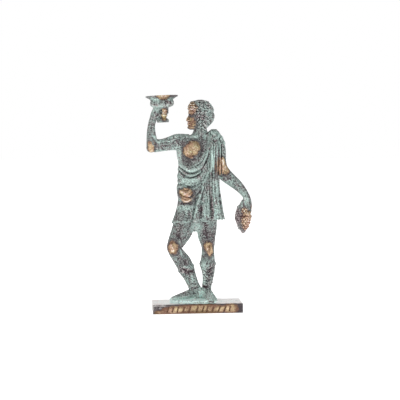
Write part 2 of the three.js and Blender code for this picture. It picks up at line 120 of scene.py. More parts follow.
def tube(stations, around, rows, back=(0, 1, 0), relief=None, rounded=0.0):
    # a limb bent through [x, y, z, half width, half depth]; angle 0 is its front
    stations = [station if len(station) == 5 else (*station, station[3]) for station in stations]
    table = np.column_stack([np.linspace(0, 1, len(stations)), stations])
    cap = 0.07
    step = 0.01

    def place(angle, v):
        t = np.clip((v - cap) / (1 - 2 * cap), 0, 1)
        reach = np.sin(np.clip(np.minimum(v, 1 - v) / cap, 0, 1) * math.pi / 2)
        values = through(table, t)
        run = through(table, t + step)[:, :3] - through(table, t - step)[:, :3]
        run /= np.linalg.norm(run, axis=1)[:, None]
        deep = np.array(back, float) - run * (run @ np.array(back, float))[:, None]
        deep /= np.linalg.norm(deep, axis=1)[:, None]
        wide = np.cross(deep, run)
        extra = relief(angle, t) if relief else 0
        bulge = np.sqrt(1 - reach**2) * rounded * values[:, 3] * np.sign(v - 0.5)
        return (
            values[:, :3]
            + wide * (np.sin(angle) * reach * (values[:, 3] + extra))[:, None]
            - deep * (np.cos(angle) * reach * (values[:, 4] + extra))[:, None]
            + run * bulge[:, None]
        )

    return drum(around, rows, place)


# The ends of upright forms, where the skin turns in to a point inside, the heart:
# [v, reach, share of the height, share of the way to the heart]
solidEnds = [(0, 0, 0, 1), (0.03, 1, 0, 0), (0.97, 1, 1, 0), (1, 0, 1, 1)]
clothEnds = [
    (0, 0, 0, 1), (0.03, 0.88, 0, 1), (0.065, 0.9, 0, 0.1), (0.08, 0.94, 0, 0), (0.092, 0.985, 0.001, 0),
    (0.1, 1, 0.006, 0), (0.95, 1, 0.994, 0), (0.96, 0.97, 1, 0), (0.97, 0.93, 1, 0.02), (1, 0, 1, 1),
]


def upright(sections, around, rows, relief=None, lower=None, upper=None, hearts=None, ends=solidEnds,
            crowd=0):
    # an upright form through sections [z, x, y, half width, half depth]
    bottom, top = sections[0][0], sections[-1][0]
    steps, reaches, heights, inwards = np.array(ends, float).T

    def place(turn, v):
        angle = turn - crowd * np.sin(turn)
        reach, height, inward = (np.interp(v, steps, column) for column in (reaches, heights, inwards))
        low = lower(angle) if lower else bottom
        high = upper(angle) if upper else top
        heart = np.where(v < 0.5, hearts[0] if hearts else bottom, hearts[1] if hearts else top)
        z = (low + (high - low) * height) * (1 - inward) + heart * inward
        x, y, wide, deep = through(sections, z).T
        extra = relief(angle, z) * smooth(reach, 0.5, 0.9) if relief else 0
        return np.column_stack([
            x + np.sin(angle) * reach * (wide + extra),
            y - np.cos(angle) * reach * (deep + extra),
            z,
        ])

    return drum(around, rows, place)


def ball(centre, radii, turn=0.0):
    shape = bmesh.new()
    bmesh.ops.create_icosphere(shape, subdivisions=4, radius=1)
    bmesh.ops.scale(shape, vec=radii, verts=shape.verts)
    turned = Matrix.Rotation(math.radians(turn), 3, "Z")
    bmesh.ops.rotate(shape, cent=(0, 0, 0), matrix=turned, verts=shape.verts)
    bmesh.ops.translate(shape, vec=centre, verts=shape.verts)
    return shape


def joined(shapes):
    whole = bmesh.new()
    for shape in shapes:
        part = bpy.data.meshes.new("part")
        shape.to_mesh(part)
        shape.free()
        whole.from_mesh(part)
        bpy.data.meshes.remove(part)
    mesh = bpy.data.meshes.new("joined")
    whole.to_mesh(mesh)
    whole.free()
    return mesh


def castInOne(shapes, values):
    # one skin round overlapping forms, with the seams between them softened
    work = bpy.data.objects.new("work", joined(shapes))
    bpy.context.scene.collection.objects.link(work)
    remesh = work.modifiers.new("remesh", "REMESH")
    remesh.mode = "VOXEL"
    remesh.voxel_size = values["voxel"]
    soften = work.modifiers.new("soften", "SMOOTH")
    soften.factor = 0.5
    soften.iterations = values["softening"]
    mesh = bpy.data.meshes.new_from_object(work.evaluated_get(bpy.context.evaluated_depsgraph_get()))
    bpy.data.objects.remove(work)
    return mesh


def draped(values, relief, lower, upper=None, ends=clothEnds):
    shape = upright(values["sections"], *values["grid"], relief, lower, upper, values["hearts"], ends)
    return joined([shape])


# Carving.
def readPoints(mesh):
    points = np.zeros(len(mesh.vertices) * 3, np.float32)
    mesh.vertices.foreach_get("co", points)
    normals = np.zeros(len(mesh.vertices) * 3, np.float32)
    mesh.vertex_normals.foreach_get("vector", normals)
    return points.reshape(-1, 3).astype(float), normals.reshape(-1, 3).astype(float)


def writePoints(mesh, points):
    mesh.vertices.foreach_set("co", points.astype(np.float32).ravel())
    mesh.update()


def nearness(points, line):
    # how far each point is from a line, and how far along the line that is
    line = np.array(line, float)
    flat = points if line.shape[1] == 3 else points[:, [0, 2]]
    if len(line) > 2:
        rows = np.column_stack([np.linspace(0, 1, len(line)), line])
        line = through(rows, np.linspace(0, 1, 5 * len(line)))
    near = np.full(len(points), np.inf)
    share = np.zeros(len(points))
    for n, (a, b) in enumerate(zip(line, line[1:])):
        run = b - a
        s = np.clip(((flat - a) @ run) / max(run @ run, 1e-9), 0, 1)
        gap = np.linalg.norm(flat - a - s[:, None] * run, axis=1)
        share = np.where(gap < near, (n + s) / (len(line) - 1), share)
        near = np.minimum(near, gap)
    return near, share


def carve(mesh, strokes):
    # raises or sinks the skin along lines [points, width, height, fading at the ends]: points (x, z) act on
    # the front only, points (x, y, z) on whatever is near them
    points, normals = readPoints(mesh)
    push = np.zeros(len(points))
    front = smooth(-normals[:, 1], 0.05, 0.4)
    for stroke in strokes:
        line, width, height = stroke[:3]
        fades = stroke[3] if len(stroke) > 3 else 0.15
        near, share = nearness(points, line)
        fade = smooth(np.minimum(share, 1 - share), -0.05, fades) if fades else 1
        push += height * bell(near, width) * fade * (front if len(line[0]) == 2 else 1)
    writePoints(mesh, points + normals * push[:, None])


def crests(mesh, rounds):
    # how far each point stands out of the skin round it, below 0 in a groove
    points, normals = readPoints(mesh)
    edges = np.zeros(len(mesh.edges) * 2, np.int32)
    mesh.edges.foreach_get("vertices", edges)
    one, other = edges.reshape(-1, 2).T
    count = np.bincount(one, minlength=len(points)) + np.bincount(other, minlength=len(points))
    soft = points.copy()
    for _ in range(rounds):
        for axis in range(3):
            column = soft[:, axis].copy()
            soft[:, axis] = (
                np.bincount(one, column[other], len(points)) + np.bincount(other, column[one], len(points))
            ) / count
    return ((points - soft) * normals).sum(1)


# Streaks and spots down the front, partly patina and partly painted highlights and painted shadows,
# pale where the amount is above 0 and dark below it:
# [width, amount, x, z, x, z, ...]
streaksAndPaintedLight = [
    # breast and armpit
    (1.3, -1, -11.1, 125.1, -10.4, 121.5, -10.8, 117.1), (1.5, -1.8, -11.5, 114.9, -10, 111.7, -5.6, 110.6),
    (1.4, -1.4, 3.1, 125.9, 3.9, 121.5, 3.5, 117.9, 1.7, 114.9), (2, -0.8, -9.3, 109.1, -4.2, 108.8),
    (1.4, 0.9, -12.9, 119.3, -12.6, 112), (0.9, 1.2, -4.6, 114, -3.6, 113),
    (1.1, -1.8, -7.2, 115.3, -3.8, 114.9), (0.8, -1.4, -5.8, 116.8, -4.6, 116.4),
    (0.9, 1.6, -9.5, 120.2, -9.2, 118.6), (0.8, 1.5, -7.6, 120.6, -6.8, 119.4),
    (0.9, -1.6, 10.2, 117.8, 10.8, 116.6), (0.8, -1.6, 3.4, 106.8, 4.2, 105.6),
    (0.9, 1.6, -5.4, 126.2, -4.2, 125.4), (1, -1.9, 8.6, 123.3, 9.6, 122.4),
    (0.6, 1.2, -3.4, 129.9, -0.5, 127.7), (1.8, 1.3, 5.3, 129.5, 5.8, 129),
    # folds over the waist
    (1.2, 1.6, -7.8, 104.4, -4.2, 104, -1.2, 105.1),
    (0.5, -1.4, -10.4, 104, -7.8, 102.4, -4.9, 102, -2, 102.6),
    (0.5, 1.5, -12.2, 104, -9.3, 101.1, -5.6, 100.2, -2, 101.1, 1, 103.3),
    (0.6, -1.5, -13.3, 103.3, -10, 100, -6.4, 98.4, -2, 99.7, 1, 101.1),
    (0.5, 1.2, -12.2, 99.3, -9.3, 97.8, -7.1, 97.6), (0.5, 1.1, -12.9, 107.7, -10, 104.8),
    (0.5, -1.8, 8.9, 117.9, 7.8, 114.2, 6.3, 110.2, 4.2, 106.9, 2.8, 104.4),
    (1.1, 1.6, 10.5, 117.1, 10.5, 111.3, 10.1, 106.2, 7.9, 102.6, 6.4, 99.7, 3.9, 96),
    (0.8, -0.5, 7.8, 110, 6.4, 106.4, 4.6, 102.6, 2.4, 98.2), (0.6, -0.8, -6.6, 91.7, -2, 92.8),
    (0.8, 2.2, -10.4, 93.2, -8.4, 92.6), (0.9, 1.4, -13.4, 95, -11.4, 93.8),
    # shoulder and sleeve
    (0.6, 1.2, 11.2, 121.5, 9.4, 120), (0.6, 2, 13.9, 122, 14, 108), (0.6, -2.4, 15.2, 120.6, 15.1, 107.6),
    (0.7, 1.4, 15.6, 106, 15.6, 103.8), (0.8, 1.8, 16, 113.6, 16.4, 112),
    (0.7, 2.2, 15.8, 125.6, 16.3, 121, 16.4, 112.8), (1, 1.8, 18.2, 111.6, 18.8, 108.8),
    (1, 1.8, 20.7, 106.6, 20.8, 104.6), (0.7, 1.6, 19.8, 124.6, 20.2, 117), (0.5, -2.2, 13, 122, 13, 104),
    (0.5, 1.8, 12.2, 122, 12.1, 114), (1.4, 2.4, 10, 118.2, 10.8, 112, 11.2, 107.6),
    (0.9, 1.6, 8, 112, 8.7, 110.6), (1, 1.7, 24.6, 101, 25.8, 99.8),
    (0.5, -1.6, 9, 121.4, 8, 115.6, 6.2, 109.4), (0.6, 1.4, 7.6, 119, 5.8, 114, 2.6, 109.6),
    (1, -1.8, 10.8, 125.9, 13, 125.5, 14.5, 126.6), (1.2, 1.1, 18.1, 128, 18.9, 124.4),
    (1.2, 1.6, 8, 132.4, 9.4, 131), (0.45, 1.7, 15.1, 129.5, 15.3, 126.6),
    (0.55, 1.4, 11.2, 132.3, 12.3, 130.6), (0.5, -1.1, 10.1, 131, 11.2, 128.8),
    (0.5, -1.1, 13.4, 131, 14.1, 128), (1.3, -1.4, 9.7, 102.6, 10.5, 98.9, 13.4, 99.3, 15.6, 101.5),
    (0.5, 1.2, 10.8, 97.8, 10.8, 96), (0.8, -1.8, 10.2, 101.7, 10.8, 100.6), (1, -1.8, 19.4, 98, 20.6, 97),
    (0.5, 1.3, 13.2, 98.6, 13.2, 96.8), (1.7, -0.5, 19, 100.8, 22.6, 99), (1.1, 2.2, 15.4, 99.8, 17.4, 98.4),
    # belly: painted highlights along the fold ridges, beside patina streaks
    (0.8, -1.4, -14, 90.2, -14, 80), (0.6, 1.9, -12.6, 88.8, -10, 87.3, -7.1, 86.2, -5.3, 85.1),
    (0.8, 1.6, -8.2, 88.4, -7.2, 87.4), (0.8, 1.5, -9, 92.8, -8.2, 92),
    (0.6, 1.5, -12.2, 82.6, -8.9, 81.5, -5.6, 82.9, -3.4, 84),
    (0.45, 1.4, -13.3, 92.8, -10.8, 90.9, -7.1, 90), (0.45, 1.5, -0.5, 92.4, -3.8, 90.4, -6, 88.5),
    (0.9, -1.7, -12.6, 87, -11.8, 85.8), (2.2, -0.8, -3.4, 89.5, 1, 88), (1.5, -0.8, -4.2, 84.4, -1.8, 83.4),
    (1.4, 1.2, -0.6, 83.6, 1.4, 87), (0.7, -0.3, 2, 89.1, 1, 86.2, -1.4, 82.6),
    # skirt and cloak
    (0.9, 1.1, 3.9, 91.7, 2.8, 87.3, 0.2, 82.2, -1.6, 78.6), (0.8, 2.2, -0.7, 78, -1.8, 73.5, -2.8, 71),
    (0.6, -1.7, -3.2, 77.8, -3.1, 76), (0.8, -1.6, -0.8, 79, -0.2, 77), (0.9, -2.3, -1.4, 73, -0.7, 69),
    (0.9, -1.6, 12.3, 80.8, 13, 79.2), (0.9, 1.6, 9.4, 75.6, 9.9, 74.2), (0.9, -2, 6.3, 70.8, 6.9, 69.2),
    (1, -1.7, 0.2, 78.6, 2, 78.6, 2.8, 75.7), (1.5, -1.5, 0.9, 76, 2, 73.5, 1.2, 70.2),
    (1.4, 0.7, 6.4, 85.1, 6.1, 77.8, 6.1, 69.1), (0.8, 1.6, 8, 85.8, 8.6, 84.4), (0.8, 1.6, 4.8, 75, 5, 71),
    (1, -1.1, 9.6, 91.7, 9.4, 82.2, 9.4, 77.1), (1, -1.5, 9.9, 85, 10.1, 77, 10.4, 69.5),
    (0.7, 2.4, 10.8, 94.2, 11.5, 84, 12.2, 77, 12.8, 69.4), (0.6, -0.9, 12.4, 92.4, 12.5, 85.8),
    (0.8, -1.2, 13, 85, 13.6, 80.4), (1.5, 2, 14.5, 95.6, 14.8, 87.3), (0.6, 1.1, 13.8, 85.1, 14.5, 80),
    (1.5, 0.9, 13.8, 77.1, 14.5, 72, 14.1, 69.1), (0.8, -1, 15.9, 85.1, 16.7, 80, 17.8, 75.7),
    (1, -1.5, 18.1, 69.8, 18.1, 69), (1.3, -2, -13.3, 80.6, -10, 80, -5.6, 79.7, -4.9, 81.5),
    (1.4, 0.8, -12.2, 77.3, -8.6, 76.4, -6.4, 76.8), (0.9, -1.5, -5.2, 76.2, -4.6, 75.2),
    (1.4, -1, -14.8, 74.2, -16.2, 68.4), (0.7, 0.7, -12.2, 74.2, -12.9, 69.1),
    (0.7, -0.9, -9.7, 74.2, -10, 70.6), (0.7, 0.8, -7.8, 74.2, -8.3, 69.8),
    (1.1, -1.2, -5.6, 73.5, -5.8, 68.4), (0.5, -0.5, -15, 68, -10.5, 68.2, -5.6, 68),
    (0.8, 1.6, -15, 66.9, -12.6, 66.9), (0.55, 1.4, -17.3, 66.2, -12.9, 66.9, -7.1, 66.6),
    (0.5, -1.2, 5.3, 68.5, 8.3, 68.7), (0.5, 1, 5, 67.3, 10.5, 66.6),
    # thighs and knees: patina streaks, painted highlights on the knees, painted light behind the right knee
    # and painted shade dulling the knees' glints
    (0.7, -1.8, -5.3, 66.2, -5.6, 63.3), (1.1, -1.8, 5.6, 65.6, 6.4, 64), (1, -1.8, 5.8, 42.2, 6.2, 41),
    (2.2, -0.6, 6.1, 61.1, 6.4, 54.6), (0.9, 1.7, 10.8, 60.4, 11.6, 59), (0.9, -1.6, 0.6, 62.4, 1.4, 61.2),
    (1, -1, 7.2, 58.6, 7.2, 58), (0.9, -1.1, 5.3, 57.5, 9, 55), (2.2, -1.1, -14.4, 58.2, -11.9, 54.6),
    (0.9, 1.6, -17, 61, -16.2, 59.8), (0.8, 0.9, -18.2, 46.5, -18, 45.4),
    (0.6, 1.2, -19.9, 50.2, -17.3, 46.6), (0.6, 1.2, 7, 48.7, 7, 45.1), (0.8, -1.8, 8.8, 49.5, 8.9, 45),
    (1, -1.7, -21.2, 46.6, -20.9, 45.2), (0.5, 2.4, -12.9, 46.8, -12.3, 43.6),
    (0.6, 1.6, -11.9, 45.8, -11.7, 43),
    # shins and boots
    (2.8, -0.6, -12.9, 40, -7.8, 35.6), (0.9, -1.4, -14.2, 39.8, -13.2, 38.8),
    (0.9, 1.5, -1, 21.8, -0.1, 20.6), (0.9, 4, -9.5, 33.9, -8.5, 33.2), (1.3, 1.8, -7.2, 34, -4.4, 33.4),
    (1.8, -1.9, -9.7, 31.6, -6.8, 28.4), (1.3, -3.2, -5, 30.2, -3.4, 29.6), (1.2, 1.5, -4.2, 25.8, -3, 22.6),
    (0.8, -1.6, -5.8, 27.4, -5.4, 26.4), (0.9, 2.2, 5, 22.2, 5.6, 20.4), (1, 1.6, 2, 12.2, 2.8, 11),
    (0.8, -1.8, 7.1, 10, 7.9, 8.9), (0.6, -2.2, -4.5, 21.3, -4.5, 20.7), (0.6, -2, -2.3, 22.7, -2.3, 22.1),
    (0.6, -2, -1.6, 18.2, -1.6, 17.6), (1, -1.8, 4.6, 41, 5.5, 39.2), (0.8, -1.7, 8.3, 40.4, 8.6, 38.9),
    (0.8, 1.5, 11.2, 40.7, 11.2, 36.4), (0.5, -1.7, 9.5, 36.4, 9.3, 30, 9, 24),
    (0.45, -1.8, 5.7, 30.9, 7.9, 29.5), (0.45, -1.6, 6.1, 29.1, 8.3, 27.6), (0.5, -1.8, 4.6, 27.6, 8.3, 23.6),
    (0.6, 2, 6.9, 26.8, 7.4, 26.3), (0.6, 2, 5.3, 25.3, 5.5, 25),
    (0.4, -1.3, 4.6, 22.5, 6.1, 22.9, 7.5, 22.2), (1.3, -1.9, 3.4, 19.2, 7, 17.8),
    (1.7, 1.3, 2.4, 19, 3.4, 12), (1, 1.4, -7.8, 23.6, -6.2, 21),
    # feet: patina spots, and a painted shadow under the left foot's toes
    (0.7, -1.8, -12.9, 13.8, -10.8, 13.8), (0.5, -1.5, -9.7, 14.4, -9.7, 14),
    (0.7, -1.6, -5.6, 13.3, -5.6, 12.9), (0.6, -1.5, -14.4, 12.4, -14.4, 12.1), (1.3, -7, 8.2, 8.9, 11, 8.6),
    (0.9, -3.4, -3, 8, 7, 8.2), (1, 1.2, 1.8, 12.2, 2.8, 11), (0.8, 1.8, -20.2, 7.4, -18.4, 7.2),
    (0.7, 2.6, -32, 6.3, -24.4, 6), (1, -2, 13, 10, 13.6, 9), (0.8, -1.6, 10.6, 9.9, 11.2, 9.2),
    (0.8, 1.6, 9.4, 11.4, 9.4, 11),
    # lowered arm and the bunch, with a painted highlight on the wrist
    (1.3, 0.8, 28.6, 92, 31.5, 90, 34, 86.5), (1, -1.6, 26.6, 94.4, 27.8, 93.2),
    (0.9, 1.8, 35.6, 78, 36.6, 76.2), (1, 1.7, 31.2, 93.8, 32.2, 92.6),
    (0.8, -0.4, 30.5, 95.5, 35, 90.5, 38, 85), (1, 2, 36.6, 84.8, 37, 81.4),
    (1.4, 3.4, 34.8, 83.8, 35.4, 79.6), (0.7, 1.5, 31.9, 81, 32.2, 77.6), (0.6, -1.6, 33.3, 81.9, 33.6, 78),
    (0.8, -1, 37.9, 82, 39.2, 76), (0.75, -4.4, 31.2, 70.9, 34.5, 70.7), (1, 1.6, 30.4, 75.6, 31.4, 74.2),
    (1, -1.6, 28.2, 69, 29.2, 67.8), (0.9, -1.2, 29.4, 72.6, 29.9, 71.2),
    # cup and raised hand, with a painted highlight on the cup's knob
    (1.1, -2, -37.8, 157.9, -35, 156), (1.1, -1.8, -20, 157.1, -14.4, 157.9),
    (1.1, 1.2, -33, 155.4, -32, 154), (0.8, -2.2, -34.2, 157.4, -32.4, 156.9),
    (0.9, 2, -29.6, 155.2, -28.4, 154.8), (0.9, 2, -21.6, 155.2, -20.4, 154.9),
    (0.7, 1.8, -30.9, 155, -30.7, 154.8), (0.8, -1.6, -30.9, 157.4, -30, 156.8),
    (0.9, -1.6, -30.3, 151.8, -29.3, 150.8), (2.5, 1.6, -32.7, 148.6, -27.4, 148.6),
    (1.4, 3.2, -31, 128.4, -30, 126, -28.2, 124.8), (1.2, 2, -33.2, 126, -32, 124.2),
    (0.8, 1.6, -36.6, 123.4, -36.2, 122.2), (0.6, -1.8, -25, 149.1, -22.5, 148.4),
    (1.1, -1.9, -26.8, 147.8, -22.2, 146.6), (0.7, 1.4, -25.1, 144.7, -24.9, 144.6),
    (1.1, 1.8, -23.9, 147, -23.9, 145.8), (1, 1.6, -29, 142.2, -27.6, 141.6),
    (0.5, -1.8, -27.4, 140.9, -27.4, 140.7), (0.5, -1.8, -25.7, 140.9, -25.7, 140.7),
    # along the raised arm, with a painted highlight along its top edge
    (0.55, 2.4, -27.4, 124.6, -24.8, 125), (0.55, 2.4, -22, 124.9, -19, 125.2),
    (0.9, 1.6, -19.2, 128.2, -18.2, 127.6), (1, 2, -32.4, 123.4, -31.6, 122.2),
    (0.6, -2.4, -25.4, 122.2, -20.8, 121.9), (0.6, 2, -21.4, 121.4, -19.4, 121.8),
    (0.7, 2.2, -16.2, 128.2, -14.8, 127.6), (0.9, -1.8, -26, 120.4, -24.8, 119.6),
    (0.8, 1.7, -11.4, 108.8, -10.2, 108), (0.7, -2, -18.6, 123.6, -17.4, 124.2),
    (0.5, 2, -17, 125.2, -16, 124.6), (0.9, 1.6, -27, 125.8, -22.6, 127, -18, 128.4, -13.6, 130),
    (0.9, -1.4, -31, 123.4, -29, 122.6), (0.8, 1.6, -33.4, 131, -32.4, 129),
    (1.1, -1.4, -29.2, 144.6, -28.2, 143.6),
    # hair
    (0.5, 1.8, -1.6, 153.9, -0.1, 151), (1, -2.4, 3.1, 143.8, 6.1, 143.2),
    (1.1, -2.4, -0.4, 142.8, 1, 142.2), (0.9, 2, 6.2, 152.9, 7.6, 152.6), (1, 3, -1.1, 152.9, 0.1, 152.6),
    (0.8, -1.6, -6, 151.8, -5.2, 150.8), (0.5, -1.6, 9.4, 145.9, 12.3, 144.4),
]
dots = [
    (0.7, -2, [(-31.6, 151.8), (-29.8, 154), (-26.8, 153.2), (-23.3, 151.8), (-22.2, 153.4), (-19.5, 153)]),
    (0.6, 1.7, [(-30.6, 152.5), (-27.9, 152.9), (-24.9, 154.3), (-20.6, 152.1), (-18.4, 152.9)]),
    # painted highlights on the hair's curls, then dark spots in the hair
    (0.75, 2, [
        (-3.4, 148.9), (-1.2, 148.9), (-5.6, 147.8), (6.8, 146.1), (3.9, 147.4), (8.3, 147.1), (9.7, 147.1),
    ]),
    (0.75, -2, [
        (-3.6, 152.7), (0.2, 150), (1.3, 147.4), (1, 145.1), (3.9, 145.4), (3.1, 141.2), (4.8, 141.5),
    ]),
]
dotLength = 0.3
streaksAndPaintedLight += [(width, amount, x, z, x, z - dotLength) for width, amount, places in dots for x, z in places]


def marked(points, normals):
    amounts = np.zeros(len(points))
    flat = points[:, [0, 2]]
    for width, amount, *line in streaksAndPaintedLight:
        corners = np.reshape(line, (-1, 2))
        close = ((flat > corners.min(0) - 2 * width) & (flat < corners.max(0) + 2 * width)).all(1)
        amounts[close] += amount * bell(nearness(points[close], corners)[0], width) ** 2
    return amounts * smooth(-normals[:, 1], -0.1, 0.3)


def remoteness(points, place):
    return np.linalg.norm((points - place[:3]) / place[3:6], axis=1)


def gathered(points, places):
    total = np.zeros(len(points))
    for place in places:
        total += place[6] * smooth(1.4 - remoteness(points, place), 0, 0.8)
    return total


def finished(name, mesh, material, values, node="figure"):
    # values has the places that are rubbed (polish), those made paler or darker as verdigris and as painted
    # light and shade, and those with stronger specks (grit), each as [x, y, z, radii x y z, amount]
    points, normals = readPoints(mesh)
    wobble = np.array([noise.noise(point * 0.55) + 0.6 * noise.noise(point * 1.3 + Vector((9, 4, 2)))
                       for point in map(Vector, points)])
    low, high = np.array(cadBox) * perMetre
    writePoints(mesh, np.clip(points + normals * (values.get("grain", 0.05) * wobble)[:, None], low, high))
    points, normals = readPoints(mesh)
    rubbed = np.zeros(len(points))
    for place in values["polish"]:
        rubbed = np.maximum(rubbed, place[6] * np.clip(1.5 - remoteness(points, place), 0, 1))
    standing = crests(mesh, values["crestRounds"]) / values.get("crestScale", 0.22)
    attributes = {
        "grit": 1 + gathered(points, values.get("grit", ())),
        "crest": np.clip(standing, -1, values.get("highest", 1)),
        "polish": rubbed,
        "bloomAndPaintedLight": marked(points, normals) + gathered(points, values["bloomAndPaintedLight"]),
    }
    for label, amounts in attributes.items():
        mesh.attributes.new(label, "FLOAT", "POINT").data.foreach_set("value", amounts.astype(np.float32))
    writePoints(mesh, points / perMetre)
    mesh.polygons.foreach_set("use_smooth", [True] * len(mesh.polygons))
    mesh.materials.clear()
    mesh.materials.append(material)
    mesh.name = name
    piece = bpy.data.objects.new(name, mesh)
    bpy.context.scene.collection.objects.link(piece)
    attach(piece, "root")
    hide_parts(node)
    print(name, len(mesh.polygons), "faces")


# Camera, floor and light, in metres.
studio = {
    "cameraTurn": -5.45,  # degrees, towards the raised cup
    "cameraAway": 0.65,
    "cameraHeight": 0.13,
    "aim": (0.0023, 0, 0.0823),
    "lens": 79.83,
    # place, size, power and colour
    "lamps": {
        "key": ((-0.42, -0.5, 0.62), (0.5, 0.5), 2.05, (1, 0.98, 0.95)),
        "fill": ((0.62, -0.38, 0.3), (0.5, 0.6), 0.8, (0.93, 0.97, 1)),
        "back": ((0.1, 0.7, 0.5), (0.8, 0.5), 2.0, (1, 1, 1)),
    },
    "lampAim": (0, 0, 0.08),
    "roomLight": 0.33,
    "floorGlow": 0.8,
    "floorColour": (0.93, 0.93, 0.93, 1),
    "floorSize": 4,
}
white = (1, 1, 1, 1)

turn = math.radians(studio["cameraTurn"])
aim = Vector(studio["aim"])
camera = bpy.data.objects.new("camera", bpy.data.cameras.new("camera"))
camera.location = (
    aim.x + math.sin(turn) * studio["cameraAway"],
    -math.cos(turn) * studio["cameraAway"],
    studio["cameraHeight"],
)
camera.rotation_euler = (aim - camera.location).to_track_quat("-Z", "Y").to_euler()
camera.data.lens = studio["lens"]
camera.data.sensor_width = 36
camera.data.clip_start = 0.01
bpy.context.scene.collection.objects.link(camera)
bpy.context.scene.camera = camera
bpy.context.scene.view_settings.view_transform = "Standard"


def node(tree, kind, inputs=None, **settings):
    made = tree.nodes.new(kind)
    for key, value in settings.items():
        setattr(made, key, value)
    for key, value in (inputs or {}).items():
        if isinstance(value, bpy.types.NodeSocket):
            tree.links.new(value, made.inputs[key])
        else:
            made.inputs[key].default_value = value
    return made


def lamp(name, place, size, power, colour):
    light = bpy.data.lights.new(name, "AREA")
    light.shape = "RECTANGLE"
    light.size, light.size_y = size
    light.energy = power
    light.color = colour
    made = bpy.data.objects.new(name, light)
    made.location = place
    made.rotation_euler = (Vector(studio["lampAim"]) - made.location).to_track_quat("-Z", "Y").to_euler()
    bpy.context.scene.collection.objects.link(made)


for name, values in studio["lamps"].items():
    lamp(name, *values)

world = bpy.data.worlds.new("room")
bpy.context.scene.world = world
world.use_nodes = True
tree = world.node_tree
tree.nodes.clear()
direction = node(tree, "ShaderNodeTexCoord").outputs["Generated"]
split = node(tree, "ShaderNodeSeparateXYZ", {"Vector": direction})
behind = node(tree, "ShaderNodeMapRange", {"Value": split.outputs["Y"], "From Min": 0.0, "From Max": 0.8})
low = node(tree, "ShaderNodeMapRange", {"Value": split.outputs["Z"], "From Min": 0.5, "From Max": 0.15})
sweep = node(tree, "ShaderNodeMath", {0: behind.outputs[0], 1: low.outputs[0]}, operation="MULTIPLY")
bright = node(tree, "ShaderNodeMapRange", {
    "Value": sweep.outputs[0], "To Min": studio["roomLight"], "To Max": 1.0,
})
path = node(tree, "ShaderNodeLightPath")
room = node(tree, "ShaderNodeBackground", {"Color": white, "Strength": bright.outputs[0]})
seen = node(tree, "ShaderNodeBackground", {"Color": white, "Strength": 1.0})
either = node(tree, "ShaderNodeMixShader", {
    0: path.outputs["Is Camera Ray"], 1: room.outputs[0], 2: seen.outputs[0],
})
node(tree, "ShaderNodeOutputWorld", {"Surface": either.outputs[0]})


def floorMaterial():
    material = bpy.data.materials.new("paleFloor")
    material.use_nodes = True
    shader = material.node_tree.nodes["Principled BSDF"]
    shader.inputs["Base Color"].default_value = studio["floorColour"]
    shader.inputs["Roughness"].default_value = 0.9
    shader.inputs["Emission Color"].default_value = white
    shader.inputs["Emission Strength"].default_value = studio["floorGlow"]
    return material


floor = bpy.data.objects.new("floor", bpy.data.meshes.new("floor"))
sheet = bmesh.new()
bmesh.ops.create_grid(sheet, x_segments=1, y_segments=1, size=studio["floorSize"])
sheet.to_mesh(floor.data)
sheet.free()
floor.data.materials.append(floorMaterial())
bpy.context.scene.collection.objects.link(floor)
print("camera, floor and light")


# Finishes.
def mixColours(tree, factor, one, other, kind="MIX"):
    made = node(tree, "ShaderNodeMix", data_type="RGBA", blend_type=kind)
    for index, value in ((0, factor), (6, one), (7, other)):
        if isinstance(value, bpy.types.NodeSocket):
            tree.links.new(value, made.inputs[index])
        else:
            made.inputs[index].default_value = value
    return made.outputs[2]


def calculate(tree, operation, one, other, clamp=False):
    return node(tree, "ShaderNodeMath", {0: one, 1: other}, operation=operation, use_clamp=clamp).outputs[0]


def patchy(tree, value, low, high):
    made = node(tree, "ShaderNodeMapRange", {"Value": value, "From Min": low, "From Max": high})
    made.interpolation_type = "SMOOTHSTEP"
    return made.outputs[0]


patina = {
    # verdigris, from the hollows to the ridges
    "darkest": (0.066, 0.059, 0.062, 1),
    "dark": (0.097, 0.093, 0.095, 1),
    "grey": (0.150, 0.155, 0.156, 1),
    "teal": (0.225, 0.300, 0.285, 1),
    "mint": (0.400, 0.510, 0.485, 1),
    "pale": (0.660, 0.760, 0.735, 1),
    "chalk": (1.0, 0.960, 0.920, 1),
    "warmTint": (1.17, 0.96, 1.02, 1),
    "coolTint": (0.79, 1.06, 1.02, 1),
    # rubbed places, with their dark rim
    "rim": (0.072, 0.046, 0.052, 1),
    "bronzeDark": (0.17, 0.100, 0.066, 1),
    "bronze": (0.44, 0.290, 0.190, 1),
    "bronzeLight": (0.66, 0.50, 0.335, 1),
    "rose": (1.08, 0.92, 1.02, 1),
    "brass": (0.97, 1.04, 0.86, 1),
}
greenSteps = [
    (0.3, "darkest"), (0.41, "dark"), (0.5, "grey"), (0.56, "teal"), (0.65, "mint"), (0.77, "pale"),
    (1, "chalk"),
]
metalSteps = [(0.26, "bronzeDark"), (0.5, "bronze"), (0.74, "bronzeLight")]


def colourSteps(tree, value, steps):
    ramp = node(tree, "ShaderNodeValToRGB", {"Fac": value})
    stops = ramp.color_ramp.elements
    for n, (position, colour) in enumerate(steps):
        stop = stops[0] if n == 0 else stops[1] if n == len(steps) - 1 else stops.new(position)
        stop.position = position
        stop.color = patina[colour]
    return ramp.outputs[0]


